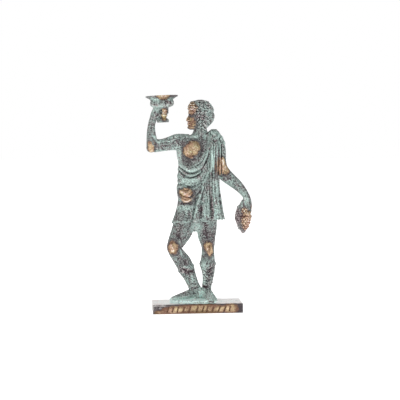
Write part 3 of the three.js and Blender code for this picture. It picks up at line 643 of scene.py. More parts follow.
def patinatedBronze(name, verdigris=0.0, contrast=1.0, grain=1.0, green=0.0, shift=0.0, brown=0.0,
                    smoothness=0.0, fleckiness=0.0, paintedCrestShade=0.15, rosiness=0.0, tinting=1.0):
    material = bpy.data.materials.new(name)
    material.use_nodes = True
    tree = material.node_tree
    shader = tree.nodes["Principled BSDF"]
    place = node(tree, "ShaderNodeTexCoord").outputs["Object"]
    moved = node(tree, "ShaderNodeMapping", {"Vector": place, "Location": (shift, 0.7 * shift, 0.3 * shift)})
    place = moved.outputs[0]

    def grainOf(scale, detail, distortion=0.0):
        made = node(tree, "ShaderNodeTexNoise", {
            "Vector": place, "Scale": scale, "Detail": detail, "Roughness": 0.62, "Distortion": distortion,
        })
        return calculate(tree, "SUBTRACT", made.outputs["Fac"], 0.5)

    def times(one, other, clamp=False):
        return calculate(tree, "MULTIPLY", one, other, clamp)

    def plus(one, other, clamp=False):
        return calculate(tree, "ADD", one, other, clamp)

    def weighed(*parts):
        total = times(*parts[0])
        for source, weight in parts[1:]:
            total = plus(total, times(source, weight))
        return total

    clouds = grainOf(150, 4)
    patches = grainOf(480, 3, 0.6)
    specks = grainOf(1120 * grain, 5, 0.2)
    dust = grainOf(3800, 2)
    cells = node(tree, "ShaderNodeTexVoronoi", {"Vector": place, "Scale": 1050 * grain}).outputs["Distance"]
    flecks = times(patchy(tree, cells, 0.42, 0.16), patchy(tree, patches, -0.16, 0.06))
    crest, polish, bloomAndPaintedLight, grit = (node(tree, "ShaderNodeAttribute", attribute_name=label).outputs["Fac"]
                                  for label in ("crest", "polish", "bloomAndPaintedLight", "grit"))

    # verdigris in specks and larger patches; painted shade in the hollows, painted highlights on the ridges
    level = weighed((times(specks, grit), contrast), (clouds, 0.32), (patches, 0.22), (crest, paintedCrestShade),
                    (bloomAndPaintedLight, 0.1), (dust, 0.5), (flecks, 0.1 + 0.1 * fleckiness))
    level = plus(level, 0.5 + verdigris)
    skin = colourSteps(tree, level, greenSteps)
    # tone carries the marks' and places' paleness and darkness, partly painted light and shade, into the tint
    # and the shine
    tone = calculate(tree, "MINIMUM", bloomAndPaintedLight, 1.2)
    hue = weighed((patches, 2.2), (specks, 1.8), (tone, 0.25), (clouds, 1.8), (dust, 1.0))
    tint = mixColours(tree, plus(hue, 0.5 + green, True), patina["warmTint"], patina["coolTint"])
    skin = mixColours(tree, tinting, skin, tint, "MULTIPLY")

    # rubbed places: bare metal with a ragged edge and a dark brown rim
    rough = 1 - 0.75 * smoothness
    reach = plus(polish, weighed((specks, 0.9 * rough), (patches, 0.65), (crest, 0.14)))
    bare = patchy(tree, reach, 0.48, 0.68)
    rim = patchy(tree, plus(reach, weighed((clouds, 1.2), (specks, 0.8))), 0.16, 0.46)
    # the bare metal's shine, with painted highlights on its ridges, painted shade in its hollows and the
    # marks' painted light
    shine = weighed((clouds, 0.9), (specks, 1.5 * rough), (crest, 1.7 * paintedCrestShade), (dust, 0.8 * rough),
                    (polish, 0.5), (tone, 0.18))
    metalColour = colourSteps(tree, plus(shine, 0.05 - brown), metalSteps)
    warmth = plus(weighed((clouds, 2.4), (patches, -1.4)), 0.5 - rosiness, True)
    metalTint = mixColours(tree, warmth, patina["rose"], patina["brass"])
    metalColour = mixColours(tree, 1.0, metalColour, metalTint, "MULTIPLY")
    skin = mixColours(tree, times(rim, 0.7), skin, patina["rim"])
    tree.links.new(mixColours(tree, bare, skin, metalColour), shader.inputs["Base Color"])

    metal = times(calculate(tree, "SUBTRACT", 0.48, level), 2.5, True)
    metal = calculate(tree, "MAXIMUM", metal, times(bare, 0.82))
    tree.links.new(metal, shader.inputs["Metallic"])
    dull = calculate(tree, "SUBTRACT", 0.78 - 0.3 * smoothness, times(metal, 0.21 + 0.15 * smoothness))
    tree.links.new(plus(dull, times(specks, 0.3)), shader.inputs["Roughness"])

    height = times(weighed((specks, 1.0), (dust, 0.5)), calculate(tree, "SUBTRACT", 1.0, times(bare, 0.5)))
    bump = node(tree, "ShaderNodeBump", {
        "Height": height, "Strength": 0.6, "Distance": 0.0004 * (1 - smoothness),
    })
    tree.links.new(bump.outputs[0], shader.inputs["Normal"])
    return material


skinFinish = patinatedBronze("patinatedSkin", verdigris=-0.095, contrast=1.55, green=0.18, fleckiness=1.2)
clothFinish = patinatedBronze("patinatedCloth", verdigris=-0.04, contrast=1.95, green=0.36, shift=0.013,
                              fleckiness=0.5)
hairFinish = patinatedBronze("patinatedHair", verdigris=-0.075, contrast=1.6, grain=0.95, green=0.2,
                             shift=0.031, paintedCrestShade=0.36)
fruitFinish = patinatedBronze("patinatedFruit", verdigris=-0.02, contrast=1.3, green=-0.05, shift=0.021,
                              brown=-0.02, rosiness=0.25, paintedCrestShade=0.3)
print("finishes")


# The bar.
bar = {
    "size": (66, 22, 7),
    "rounding": 0.32,
    "cells": (0.3, 0.6, 0.28),  # size of its faces along x, y and z
    "strokes": 12,
    "first": -22.5,  # x of the first stroke
    "pitch": 4.2,
    "lean": (14, 24),  # degrees, from and to
    "length": (3.2, 3.9),  # from and to
    "width": 0.66,
    "depth": 0.55,
    "shadow": (0.6, -3.2),  # width and amount of the dark mark along a stroke
    "polish": [
        (-16.5, -11, 2.4, 10.8, 3, 3.8, 1.1), (-26, -11, 1.2, 7, 3, 1.9, 1.1), (2, -11, 3.2, 24, 3, 4, 1.1),
        (24, -11, 3.3, 6, 3, 4.2, 1.1), (-10, 11, 2.8, 17, 3, 3.7, 1.05), (11, 11, 3.2, 17, 3, 3.7, 1.05),
    ],
    "bloomAndPaintedLight": [
        # the first place paints the top nearly white, a painted reflection of the bright room above it
        (0, 0, 7.6, 200, 100, 0.7, 7.4), (2, -11, 6.9, 34, 2, 0.7, -2.5), (-29, -11, 4.4, 4.4, 2, 2, -1.3),
        (-33.2, 0, 3.5, 0.5, 60, 9, 2.4), (-27.6, -11, 4.4, 1.2, 2, 0.7, 3), (-17, -11, 2.6, 5, 2, 1.8, 1),
        (19, -11, 3, 5, 2, 2, 1.3), (0, -11, 1.2, 14, 2, 1.2, -1.2), (-31, -11, 0.6, 2, 2, 1.2, -1.2),
        (31, -11, 3, 2.4, 3, 5, -2), (0, -11, 0.1, 60, 2, 0.5, -2),
    ],
    "grain": 0.03,
    "crestRounds": 6,
    "crestScale": 0.1,
    # crest kept at or below 0: painted shade only in hollows such as the strokes' grooves
    "highest": 0,
}


def barStrokes():
    dice = random.Random(7)
    strokes = []
    for n in range(bar["strokes"]):
        lean = math.radians(dice.uniform(*bar["lean"]))
        half = dice.uniform(*bar["length"]) / 2
        along = np.array([math.sin(lean), math.cos(lean)]) * half
        middle = np.array([bar["first"] + (n + dice.uniform(-0.2, 0.2)) * bar["pitch"], bar["size"][2] / 2])
        strokes.append([middle - along, middle + along])
    return strokes


def plinthBar(strokes):
    size = np.array(bar["size"], float)
    shape = bmesh.new()
    bmesh.ops.create_cube(shape, size=1)
    bmesh.ops.scale(shape, vec=bar["size"], verts=shape.verts)
    for axis, cell in enumerate(bar["cells"]):
        long = [edge for edge in shape.edges if abs((edge.verts[0].co - edge.verts[1].co)[axis]) > 2 * cell]
        bmesh.ops.subdivide_edges(shape, edges=long, cuts=round(size[axis] / cell) - 1, use_grid_fill=True)
    mesh = bpy.data.meshes.new("plinth")
    shape.to_mesh(mesh)
    shape.free()
    points, _ = readPoints(mesh)
    inner = np.clip(points, bar["rounding"] - size / 2, size / 2 - bar["rounding"])
    out = points - inner
    out /= np.maximum(np.linalg.norm(out, axis=1), 1e-9)[:, None]
    points = inner + out * bar["rounding"] + (0, 0, size[2] / 2)
    sunk = np.zeros(len(points))
    for stroke in strokes:
        sunk = np.maximum(sunk, np.clip(1 - nearness(points, stroke)[0] / bar["width"], 0, 1))
    front = size[1] / 2
    sunk *= smooth(-points[:, 1], front - 0.1, front - 0.01)
    points[:, 1] += bar["depth"] * sunk
    writePoints(mesh, points)
    return mesh


strokes = barStrokes()
streaksAndPaintedLight += [(*bar["shadow"], *start, *end) for start, end in strokes]
barFinish = patinatedBronze("bareBronze", verdigris=-0.06, contrast=0.8, green=-0.35, shift=0.005, brown=0.17,
                            smoothness=0.8, paintedCrestShade=0.42, tinting=0.3)
finished("plinthBar", plinthBar(strokes), barFinish, bar, "plinth")


# The trunk, neck and right arm.
trunk = {
    "voxel": 0.32,
    "softening": 6,
    "core": [
        (92, -1, 0, 11.2, 6.2), (103, -0.8, -0.2, 12.2, 7), (112, -0.8, 0, 13.3, 7.8),
        (119, -0.9, 0.2, 13.9, 7.6), (124.5, 0.2, 0.6, 12.6, 6.6), (128.5, 1, 0.9, 9, 5.4),
        (130.4, 2.3, 0.9, 6.3, 5), (132.6, 2.6, 0.8, 5.2, 4.8), (138.5, 1.8, 0.8, 4.6, 4.8),
    ],
    "upperArm": [
        (-6, 0.2, 124.2, 6.4, 5.6), (-14, -0.2, 124.7, 6.1, 5.4), (-19.5, -0.6, 123.8, 5.1, 4.8),
        (-25, -1.2, 122.7, 4.5, 4.4), (-30.5, -1.8, 122.1, 4.5, 4), (-34.4, -2.2, 121.6, 2.9, 2.8),
    ],
    "foreArm": [
        (-33.3, -2, 117.9, 3.2, 2.8), (-32.6, -2, 122, 4.3, 3.9), (-33.1, -2.4, 127, 3.8, 3.6),
        (-33.5, -3.2, 132, 3.1, 3.1), (-33.2, -4.2, 137.5, 2.6, 2.5), (-31.9, -5.2, 142, 2.7, 2.3),
        (-30.6, -5.6, 145.4, 3.1, 2.3), (-28.8, -5.8, 149.2, 2.9, 2.2),
    ],
    "thumb": [
        (-30.6, -6.6, 146.2, 1.1), (-28.4, -8.2, 148.2, 1.05), (-25.2, -9, 149.6, 0.95),
        (-23.6, -9, 149.9, 0.8),
    ],
    "collarBone": [(-12, -1.5, 128.6, 1.6), (-5, -4.1, 128.2, 1.4), (0.6, -4.4, 129, 1.2)],
    # centre, radii and turn in degrees of the breast, shoulder, wrist and elbow
    "balls": [
        ((-4.4, -4.4, 119.2), (7.4, 4.0, 6.6), -10),
        ((-6.2, -4.8, 117.2), (5.2, 3.9, 4.6), -10),
        ((7.2, 0.8, 129), (4.6, 4, 3.0), 0),
        ((-29, -5.4, 144.4), (2.4, 2, 3.4), 0),
        ((-33.5, -2.2, 120.8), (3.5, 3.2, 3.6), 0),
    ],
    "fingers": 3,
    "topFinger": 149.2,  # its height
    "fingerPitch": 1.6,
    "polish": [
        (-5.8, -8.8, 116.9, 4.5, 6, 4.2, 1), (-1.6, -8.4, 121.5, 3.9, 6, 4.6, 1),
        (-3.6, -8.6, 119, 4.4, 6, 4.6, 1), (-6.2, -8.2, 120.4, 3.4, 6, 3.6, 1),
        (-8.4, -7.6, 118.4, 2.6, 5, 3.8, 1), (-3.6, -8, 123.4, 3.6, 5, 3.4, 1),
        (-11, -6, 120.8, 1.4, 5, 4.6, 0.32), (-33.6, -4.8, 120.2, 2.6, 5, 3.2, 0.95),
        (-34.6, -4.8, 123, 1.8, 5, 2.6, 0.9), (-34.4, 1, 120.6, 2, 4, 3, 0.9),
        (-31.6, -6, 124.4, 1.9, 4, 2.8, 0.46), (-24.4, -9, 147, 2.8, 4, 2.2, 0.85),
    ],
    "bloomAndPaintedLight": [
        (3, -4, 131, 4, 6, 4, 0.3), (-14, -4, 114, 3, 6, 7, 1.2), (-10, -4, 130, 4, 6, 2, 0.6),
        # the place at (-24.4, -9, 147) paints light into the bowl's shadow on the raised hand
        (-24.4, -9, 147, 2.6, 4, 2, 1.4), (-14.5, -4, 121, 5, 6, 2, 0.6), (-33.5, -5, 132, 4, 5, 8, -0.1),
        (-12, -6, 125, 4, 4, 2.4, -0.5), (-2, -5, 130, 3, 5, 2.4, 1), (-24, -3, 118.4, 8, 6, 0.8, 1.2),
    ],
    "grit": [(-17, -3, 123.5, 12, 8, 6, 0.5)],
    "crestRounds": 9,
}


def rightFinger(n):
    z = trunk["topFinger"] - trunk["fingerPitch"] * n
    return [
        (-30, -4.2, z - 0.4, 1.0),
        (-27.2, -1.4, z, 0.95),
        (-23.4, -1.6, z, 0.9),
        (-21.7, -4.8, z - 0.1, 0.85),
        (-23, -7.8, z - 0.2, 0.8),
        (-25.2, -8.6, z - 0.3, 0.7),
    ]


body = castInOne(
    [
        upright(trunk["core"], 90, 110),
        *(ball(*values) for values in trunk["balls"]),
        tube(trunk["collarBone"], 20, 30),
        tube(trunk["upperArm"], 60, 90),
        tube(trunk["foreArm"], 50, 110),
        tube(trunk["thumb"], 24, 40, rounded=1),
        *(tube(rightFinger(n), 22, 60, back=(0, 0, 1), rounded=1) for n in range(trunk["fingers"])),
    ],
    trunk,
)
carve(body, [
    ([(-10.6, 119.5), (-9.4, 114.8), (-5, 112.4), (0, 113.2), (2.8, 117.5), (3, 123)], 0.8, -0.55),  # breast
    ([(-2.4, -7.5, 128.4), (0.2, -7.4, 122), (0.4, -8, 114)], 0.7, -0.3),
    ([(-28, -5.6, 123.8), (-22, -5.6, 124.6), (-15.5, -6, 126.4), (-12, -6, 128.2)], 0.75, -0.5),  # muscles
    ([(-26, -5, 120.8), (-18, -5.4, 121.2), (-13, -5.6, 122.4)], 0.7, -0.3),
    ([(-14.6, -5.6, 129.6), (-17.4, -5.6, 126), (-16.4, -5.4, 122.6)], 0.8, -0.35),
    ([(-33.4, -6.6, 138), (-33.4, -6.4, 132), (-31.6, -6, 125.4)], 0.7, -0.4),
    ([(-29.8, -6.6, 140), (-30.4, -6, 133)], 0.6, -0.25),
    ([(-31.4, -3, 118.6), (-30.2, -5.8, 122.4), (-33, -6.4, 124.6)], 0.6, -0.3),
    ([(3.4, -3.6, 137), (0.6, -4.4, 132.6), (-0.6, -4.6, 129.6)], 0.7, 0.45),  # neck
    ([(5.6, -3, 136), (6.2, -3.4, 131.6)], 0.8, -0.35),
    ([(-3.6, -5.8, 127.4), (-8, -5, 127.2), (-11.6, -4, 127.2)], 0.6, -0.3),  # under the collar bone
    ([(-6, 8.2, 126), (-9.4, 7.4, 119), (-6.4, 8, 115.4)], 1.0, 0.6),  # shoulder blade
    ([(1.4, 6, 131), (0.6, 8, 124), (0, 8.2, 116)], 0.9, -0.5),
])
finished("torso", body, skinFinish, trunk)


# The legs, boots and foot plate.
legs = {
    "voxel": 0.32,
    "softening": 4,
    "rightThigh": [
        (-16.2, -3.4, 43.2, 2.4), (-17.2, -4, 46.4, 5, 4.8), (-16.3, -3.6, 50, 5.9, 5.3),
        (-13.9, -2.6, 54.6, 6.9, 6.1), (-10.9, -1.4, 60.4, 7.8, 7.3), (-8.6, 0, 69, 7.9, 7.9),
        (-7.6, 0.4, 76, 6.5, 6.5),
    ],
    "rightShin": [
        (0.6, 2, 10.4, 4.1, 3.2), (-0.6, 2, 14.4, 4.4, 3.5), (-2.6, 1.8, 19.4, 4, 3.6),
        (-5.1, 1, 25.4, 4.5, 4.2), (-7.6, 0, 31, 5.6, 4.9), (-10.3, -1.2, 36.6, 6, 5.3),
        (-13.6, -2.8, 41.4, 5.5, 5), (-16.6, -4, 45.6, 4.9, 4.6), (-17, -4.2, 48.4, 2.8, 2.6),
    ],
    "rightFoot": [
        (5, 2.4, 11.4, 1.6, 1.4), (3.6, 2.4, 12, 3, 2.9), (-1, 2.2, 12.9, 3.5, 4), (-6, 1.6, 12.2, 3.7, 3.2),
        (-11, 1, 11.2, 4.2, 2.2), (-15.2, 0.4, 10.3, 4.2, 1.5), (-17.8, 0.2, 9.9, 3.5, 1),
        (-19, 0.2, 9.7, 2, 0.7),
    ],
    "leftLeg": [
        (7.4, 1.6, 10.2, 3.4, 3.4), (7.3, 1.2, 14, 3.4, 3.5), (7.4, 0.8, 18, 3.2, 3.4),
        (8, 0.6, 22.6, 3.5, 3.8), (8.5, 0.6, 28, 4.3, 4.6), (8.1, 0.6, 34.4, 5.4, 5.3),
        (8.2, 0.2, 40, 5, 4.9), (8.1, -0.8, 45.4, 4.6, 4.8), (8, -0.8, 49.6, 5.2, 5),
        (7.3, -0.3, 55.6, 6.6, 6.1), (7.3, 0.2, 63, 7.5, 7.3), (7, 0.5, 71, 7.5, 7.5),
        (6.4, 0.5, 76, 6.4, 6.4),
    ],
    "leftFoot": [
        (7.2, 4.6, 11.4, 1.8, 1.6), (7.4, 3.2, 12, 3, 2.8), (8, -0.6, 12.8, 3.4, 3.9),
        (9.2, -4.2, 11.6, 3.7, 2.8), (10.1, -7.6, 10.3, 4, 2), (10.5, -10, 9.2, 3.8, 1.7),
        (10.7, -11.6, 8.4, 2.6, 1.2),
    ],
    "web": [(58.9, -1, 0.5, 1.6, 1.8), (60.6, -0.6, 0.5, 4.4, 4), (66, 0, 0.5, 11, 7), (76, 0, 0.5, 11.6, 7)],
    "knees": [((8.7, -4.0, 46.6), (2.9, 2, 4)), ((-18.0, -6.0, 47.6), (3.9, 3.2, 4.8))],
    "cuffs": (0.52, 0.43),  # where the right and left boots end, as shares of the shin and of the leg
    # laces crossing the left boot: left z, middle z, right z, x of the crossing
    "straps": [
        (33.4, 32.2, 34.4, 7.6), (31.8, 29.8, 30.6, 8.8), (28.6, 28.4, 29.6, 7.2), (28.2, 25.2, 24.6, 8.4),
        (23.8, 24.0, 25.6, 7.8), (22.6, 21.4, 21.2, 8.6), (19.4, 19.8, 21.4, 7.4),
    ],
    "polish": [
        (-18.2, -8.4, 48.2, 3.9, 5, 5.1, 1), (7.9, -6, 48.3, 4, 4, 4.2, 0.92),
        (9.4, -6, 44.2, 2.6, 4, 4, 0.9), (8.4, 7, 38.5, 2.4, 4, 5.2, 0.9),
    ],
    "bloomAndPaintedLight": [
        (-1.2, 0, 63.4, 5, 9, 5.4, 1.9), (1.4, -2, 57, 1.8, 6, 7, 1.3), (0, 0, 7.6, 60, 40, 2.2, 5),
        (8, -5, 38, 4, 5, 5, 0.4), (-16, -5, 55, 5, 6, 4, -0.4), (8, -6, 57, 6, 5, 6, -0.7),
        (5.2, -3, 18.4, 2.8, 4, 1, -1.8), (4.4, -4, 29, 2, 6, 9, 1.7), (3, -4, 13.8, 2.7, 6, 4.2, 2.8),
        (10.4, -4, 33, 2, 5, 7, -0.9), (-12.4, -4, 50, 2.6, 5, 4, -0.9), (-10.5, -4, 34, 5, 6, 7, -0.8),
        # the place at (0, -4, 10.2) is painted light that lifts the shade where the feet meet the plate
        (9.4, -8, 13.6, 3.6, 4, 2.4, 2.4), (0, -4, 10.2, 24, 14, 1.5, 1.8), (-3.2, -4, 24, 1.6, 4, 3, 0.5),
        (-6.5, -5, 30.5, 4.6, 4, 1.8, -0.6), (-13, -5, 62, 7, 6, 6, -0.3),
    ],
    "grit": [(0, 0, 24, 40, 20, 13, 0.5), (-7, 0, 26, 8, 12, 12, 0.5)],
    "crestRounds": 12,
}
plate = {
    "left": -20,
    "right": 14.6,
    "front": -10.4,
    "rear": 8.6,
    "bottom": 6.9,
    "thickness": 2.4,
    "rounding": 0.7,
    "stepsPerCurve": 14,
}


def footPlate():
    left, right, front, rear = (plate[side] for side in ("left", "right", "front", "rear"))
    curves = [
        ((left, -4.4), (left + 4, front + 1), (-4, front + 0.6), (5, front)),
        ((5, front), (9, front), (right, front + 5), (right - 0.6, 0)),
        ((right - 0.6, 0), (right - 2, rear), (6, rear), (0, rear - 1)),
        ((0, rear - 1), (-8, rear), (left, rear - 2), (left, 3.4)),
    ]
    shape = bmesh.new()
    outline = []
    for knots in curves:
        corners = (Vector((*knot, 0)) for knot in knots)
        outline += geometry.interpolate_bezier(*corners, plate["stepsPerCurve"])[:-1]
    outline.append(Vector((left, 3.4, 0)))
    face = shape.faces.new([shape.verts.new((x, y, plate["bottom"])) for x, y, _ in outline])
    bmesh.ops.recalc_face_normals(shape, faces=[face])
    raised = bmesh.ops.extrude_face_region(shape, geom=[face])["geom"]
    top = [part for part in raised if isinstance(part, bmesh.types.BMVert)]
    bmesh.ops.translate(shape, vec=(0, 0, plate["thickness"]), verts=top)
    rim = [edge for edge in shape.edges if all(vertex in top for vertex in edge.verts)]
    bmesh.ops.bevel(shape, geom=rim, offset=plate["rounding"], segments=3, profile=0.5, affect="EDGES",
                    material=-1)
    bmesh.ops.recalc_face_normals(shape, faces=shape.faces)
    return shape


def boot(cuff):
    # the leather above the ankle stands out a little and is rolled over at its top
    def relief(angle, t):
        leather = smooth(cuff - t, -0.01, 0.01)
        return 0.3 * leather + 0.55 * bell(t - cuff, 0.022) * (1 + 0.25 * np.sin(6 * angle))
    return relief


rightCuff, leftCuff = legs["cuffs"]
stance = castInOne(
    [
        footPlate(),
        upright(legs["web"], 60, 50),
        tube(legs["rightThigh"], 60, 80),
        tube(legs["rightShin"], 60, 120, relief=boot(rightCuff)),
        tube(legs["rightFoot"], 50, 70, back=(0, 0, 1)),
        tube(legs["leftLeg"], 60, 160, relief=boot(leftCuff)),
        tube(legs["leftFoot"], 50, 60, back=(0, 0, 1)),
        *(ball(*values) for values in legs["knees"]),
    ],
    legs,
)
# each lace is a raised strap over a groove
laces = [([(4.4, left), (middle, low), (11.4, right)], 0.34, 0.5, 0)
         for left, low, right, middle in legs["straps"]]
laces += [([(4.4, left - 1.1), (middle, low - 1.2), (11.4, right - 1.3)], 0.4, -0.45, 0)
          for left, low, right, middle in legs["straps"]]
# grooves between the toes
toes = [[(-19.6 + 0.3 * abs(n), -1.9 + 1.35 * n, 11.4), (-15, -1.7 + 1.15 * n, 12.6), (-13.4, -1.5 + n, 12.9)]
        for n in range(4)]
toes += [[(9 + 1.5 * n, -11 + 0.1 * n * n, 11.4), (8.4 + 1.35 * n, -7.4, 12.6), (8.2 + 1.2 * n, -6, 12.9)]
         for n in range(4)]
carve(stance, [
    *laces,
    ([(8.4, 34.4), (7.9, 26), (7.3, 18.6)], 0.45, -0.35),  # gap between the boot's edges
    ([(3.4, 18.6), (7.4, 17.8), (11, 18.8)], 0.5, -0.55),
    ([(-12.4, 32.8), (-8, 30.4), (-3.4, 29)], 0.6, -0.6),  # under the right boot's roll
    ([(-10.4, 29.6), (-6.4, 27.4), (-1.8, 26.6)], 0.5, 0.45),
    ([(-8.4, 25.8), (-4.6, 24.4), (-0.8, 24.4)], 0.5, -0.4),
    ([(-6.6, 21.8), (-3, 20.6), (0.8, 21)], 0.5, -0.35),
    ([(-5.4, 17.6), (-1.4, 17), (2.6, 18)], 0.6, -0.4),
    ([(-20.2, 45.6), (-17, 42.6), (-13.2, 44.4)], 0.8, -0.45),  # round the right knee
    ([(-20, 51.2), (-17, 52.2), (-12.8, 50.4)], 0.8, -0.35),
    ([(5.6, 43.4), (8.8, 41.4), (11.8, 43.4)], 0.8, -0.45),
    ([(5.2, 50.8), (8.6, 52.2), (12, 50.8)], 0.8, -0.35),
    ([(-12.2, 66), (-13.4, 59), (-14.6, 54)], 0.9, -0.3),  # along the thigh muscles
    ([(-6.4, 64), (-8.6, 57.4), (-12, 52)], 0.9, -0.35),
    ([(5.2, 66), (6, 59), (7, 53.6)], 0.9, -0.35),
    ([(11, 66), (11, 60), (10.4, 54)], 0.9, -0.3),
    ([(-13.6, 40.6), (-10.6, 36.4), (-8.2, 33.6)], 0.8, 0.35),  # shin bone
    *((toe, 0.3, -0.45, 0) for toe in toes),
])
finished("legs", stance, skinFinish, legs)


# The left arm and hand.
leftArm = {
    "voxel": 0.27,
    "softening": 5,
    "arm": [
        (16.2, 0.2, 116, 4.9, 4.9), (17.6, 0, 107, 4.6, 4.6), (20.2, -0.4, 101.6, 4.9, 4.5),
        (24.6, -1, 97.5, 4.5, 4.1), (29.2, -2, 93.6, 3.9, 3.6), (33, -2.8, 89.6, 3.2, 2.9),
        (35.8, -3.4, 85.6, 2.6, 2.4), (37, -3.8, 81.6, 2.8, 3.2), (37.9, -4, 77.4, 2.3, 3.3),
        (38, -4, 73.8, 1.5, 2.8),
    ],
    "thumb": [(35.2, -5.2, 84, 1.3), (33.4, -7, 81.4, 1.2), (32.2, -8.6, 78.6, 0.95)],
    "fingers": 4,
    "polish": [
        (21, -4.4, 105.8, 3.3, 4.4, 5.2, 0.95), (40.6, -7, 76.6, 1.6, 3, 3.6, 0.9),
        (36.4, -9.6, 72.8, 2.8, 4, 2.2, 1),
    ],
    "bloomAndPaintedLight": [
        (24, -3, 95, 7, 6, 2.6, 1), (33, -3, 87, 3.6, 6, 3, 0.7), (35, -4, 82.5, 2.8, 5, 4, 0.6),
        (23, -5, 100.6, 4.2, 4, 2.8, -0.15),
    ],
    "crestRounds": 9,
}


def leftFinger(n):
    return [
        (38, -6.4 + 2.3 * n, 77.6, 1.05),
        (38.5, -7.0 + 2.4 * n, 74.2, 1.0),
        (36.6, -8.4 + 2.45 * n, 72.2, 0.95),
        (34.2, -9.1 + 2.45 * n, 72.8, 0.85),
    ]


lowered = castInOne(
    [
        tube(leftArm["arm"], 60, 200),
        tube(leftArm["thumb"], 26, 40, rounded=1),
        *(tube(leftFinger(n), 24, 50, rounded=1) for n in range(leftArm["fingers"])),
    ],
    leftArm,
)
carve(lowered, [
    ([(21, -4.8, 100), (25.6, -5, 96.8), (30.6, -5.4, 92.6), (34.6, -5.6, 87.6)], 0.75, -0.4),
    ([(19, -4.6, 104.6), (22.6, -5, 102), (25.4, -4.4, 100.4)], 0.7, -0.45),
    ([(18.8, -4.2, 98.4), (22, -4.8, 97.4), (23.4, -4.4, 95)], 0.7, -0.35),
    ([(34.2, -4, 86.4), (36.2, -6.2, 85.2), (38.2, -5, 84.6)], 0.5, -0.25),
    ([(37.2, -7.6, 82.6), (38.4, -7.8, 78)], 0.45, -0.3),
    ([(38.2, -5.4, 82.4), (40, -5.2, 77.4)], 0.4, -0.25),
    ([(38.2, -2.8, 82.4), (40, -2.6, 77.4)], 0.4, -0.25),
])
finished("leftArm", lowered, skinFinish, leftArm)
print("bare limbs done")


# The tunic.
tunic = {
    "grid": (295, 190),
    "hem": 67.3,
    "belt": 92,
    "hearts": (72.3, 106),  # heights where the skin closes inside
    "sections": [
        (64, -2, 0.4, 17.2, 10.4), (70, -1.4, 0.4, 15.2, 9.7), (78, -1, 0.3, 13.2, 8.8),
        (86, -0.9, 0.1, 12.7, 8.2), (92, -1.3, 0, 12.9, 7.5), (98, -1.1, -0.1, 13.3, 8.2),
        (110, -0.5, 0, 13.2, 8.8), (118, 0, 0.2, 14, 8.6), (124, 1.2, 0.5, 14, 7.8), (128.5, 3, 0.7, 12, 6.4),
        (131, 4, 0.8, 9.6, 5.4),
    ],
    # lines round the tunic: degrees from the front, height
    "neckline": [
        (-180, 116), (-140, 112.5), (-90, 111), (-45, 107.6), (-20, 107.4), (2, 110), (26, 118.5), (50, 131),
        (130, 131), (155, 124), (180, 116),
    ],
    "pouchTop": [
        (-180, 92), (-90, 94.4), (-60, 93.8), (-30, 92.4), (0, 93.4), (16, 91.9), (40, 91.4), (180, 92),
    ],
    "pouchBottom": [
        (-180, 86), (-120, 84.6), (-80, 83.8), (-40, 80.7), (-18, 81.2), (8, 88.2), (16, 91.2), (40, 90.8),
        (180, 86),
    ],
    # degrees at the hem, degrees at the belt, height
    "pleats": [
        (-172, -172, -0.7), (-160, -160, 0.9), (-150, -151, -0.6), (-138, -138, 0.8), (-128, -128, -0.7),
        (-114, -114, 0.9), (-103, -103, -0.5), (-88, -88, 0.5), (-76, -76, -0.25), (-66, -66, 0.3),
        (-56, -54, -0.35), (-40, -40, 0.25), (-25, -20, -0.15), (-19, -8, 0.35), (-10, 3, -0.7),
        (-1, 11, 0.85), (12, 22, -0.85), (26, 30, 0.8), (40, 40, -0.6), (60, 60, 0.8), (80, 80, -0.6),
        (102, 102, 0.9), (114, 114, -0.7), (126, 126, 0.8), (138, 138, -0.6), (150, 150, 0.9),
        (162, 162, -0.6), (176, 176, 0.8),
    ],
    "polish": [
        (-9.2, -9.4, 87.8, 5.4, 7, 4, 1), (-8.5, -9.4, 83.3, 3.5, 7, 3, 1),
        (-3.8, -8.6, 85, 2.6, 6, 4.6, 0.4), (-7.5, 9, 84, 4.2, 5, 5, 0.9),
    ],
    "bloomAndPaintedLight": [
        (-7, -8, 96.4, 7, 5, 2.6, 1.3), (-6, -8, 104, 8, 5, 2, 0.6), (-1.6, -8, 87, 3.6, 4, 5, -0.6),
        (-8, -8, 77, 6, 6, 2.4, 0.7), (-11, -8, 70.6, 6, 6, 2.2, -0.5), (2, -9, 74, 2, 4, 6, -0.6),
    ],
    "grit": [(0, 0, 76, 40, 20, 14, 0.25)],
    "crestRounds": 11,
}


def tunicRelief(angle, z):
    turn = np.degrees(angle)
    pleats = folds(turn, z, tunic["pleats"], tunic["hem"], tunic["belt"]) * smooth(-z, -93, -74)
    top, bottom = eased(tunic["pouchTop"], turn), eased(tunic["pouchBottom"], turn)
    share = np.clip((z - bottom) / np.maximum(top - bottom, 0.6), 0, 1)
    size = 2.4 * bell(angle + 0.72, 0.75) + 0.7 * smooth(np.abs(turn), 90, 150)
    pouch = size * np.sin(math.pi * share**0.8) ** 0.6
    below = eased(tunic["neckline"], turn) - z
    sides = 1 - smooth(np.cos(angle - 0.1), -0.1, 0.5)
    depth = 0.25 + 0.5 * smooth(np.abs(turn), 95, 140)
    reach = smooth(below, 0.5, 2) * smooth(-below, -17, -9)
    loops = depth * np.sin(below * 1.25 + 0.6) * reach * sides
    gathers = 0.22 * np.sin(turn * 0.42 + 0.8 * np.sin(z)) * bell(z - 92, 4) * sides
    nip = -0.5 * bell(z - top - 0.2, 0.8) * smooth(-turn, -5, 25)
    return pleats + pouch + loops + gathers + nip


def tunicHem(angle):
    low = 1.7 * bell(angle + 1.4, 0.55)
    return tunic["hem"] - 0.4 - low + 0.45 * np.sin(3 * angle + 0.6) + 0.2 * np.sin(11 * angle)


def tunicNeck(angle):
    return eased(tunic["neckline"], np.degrees(angle))


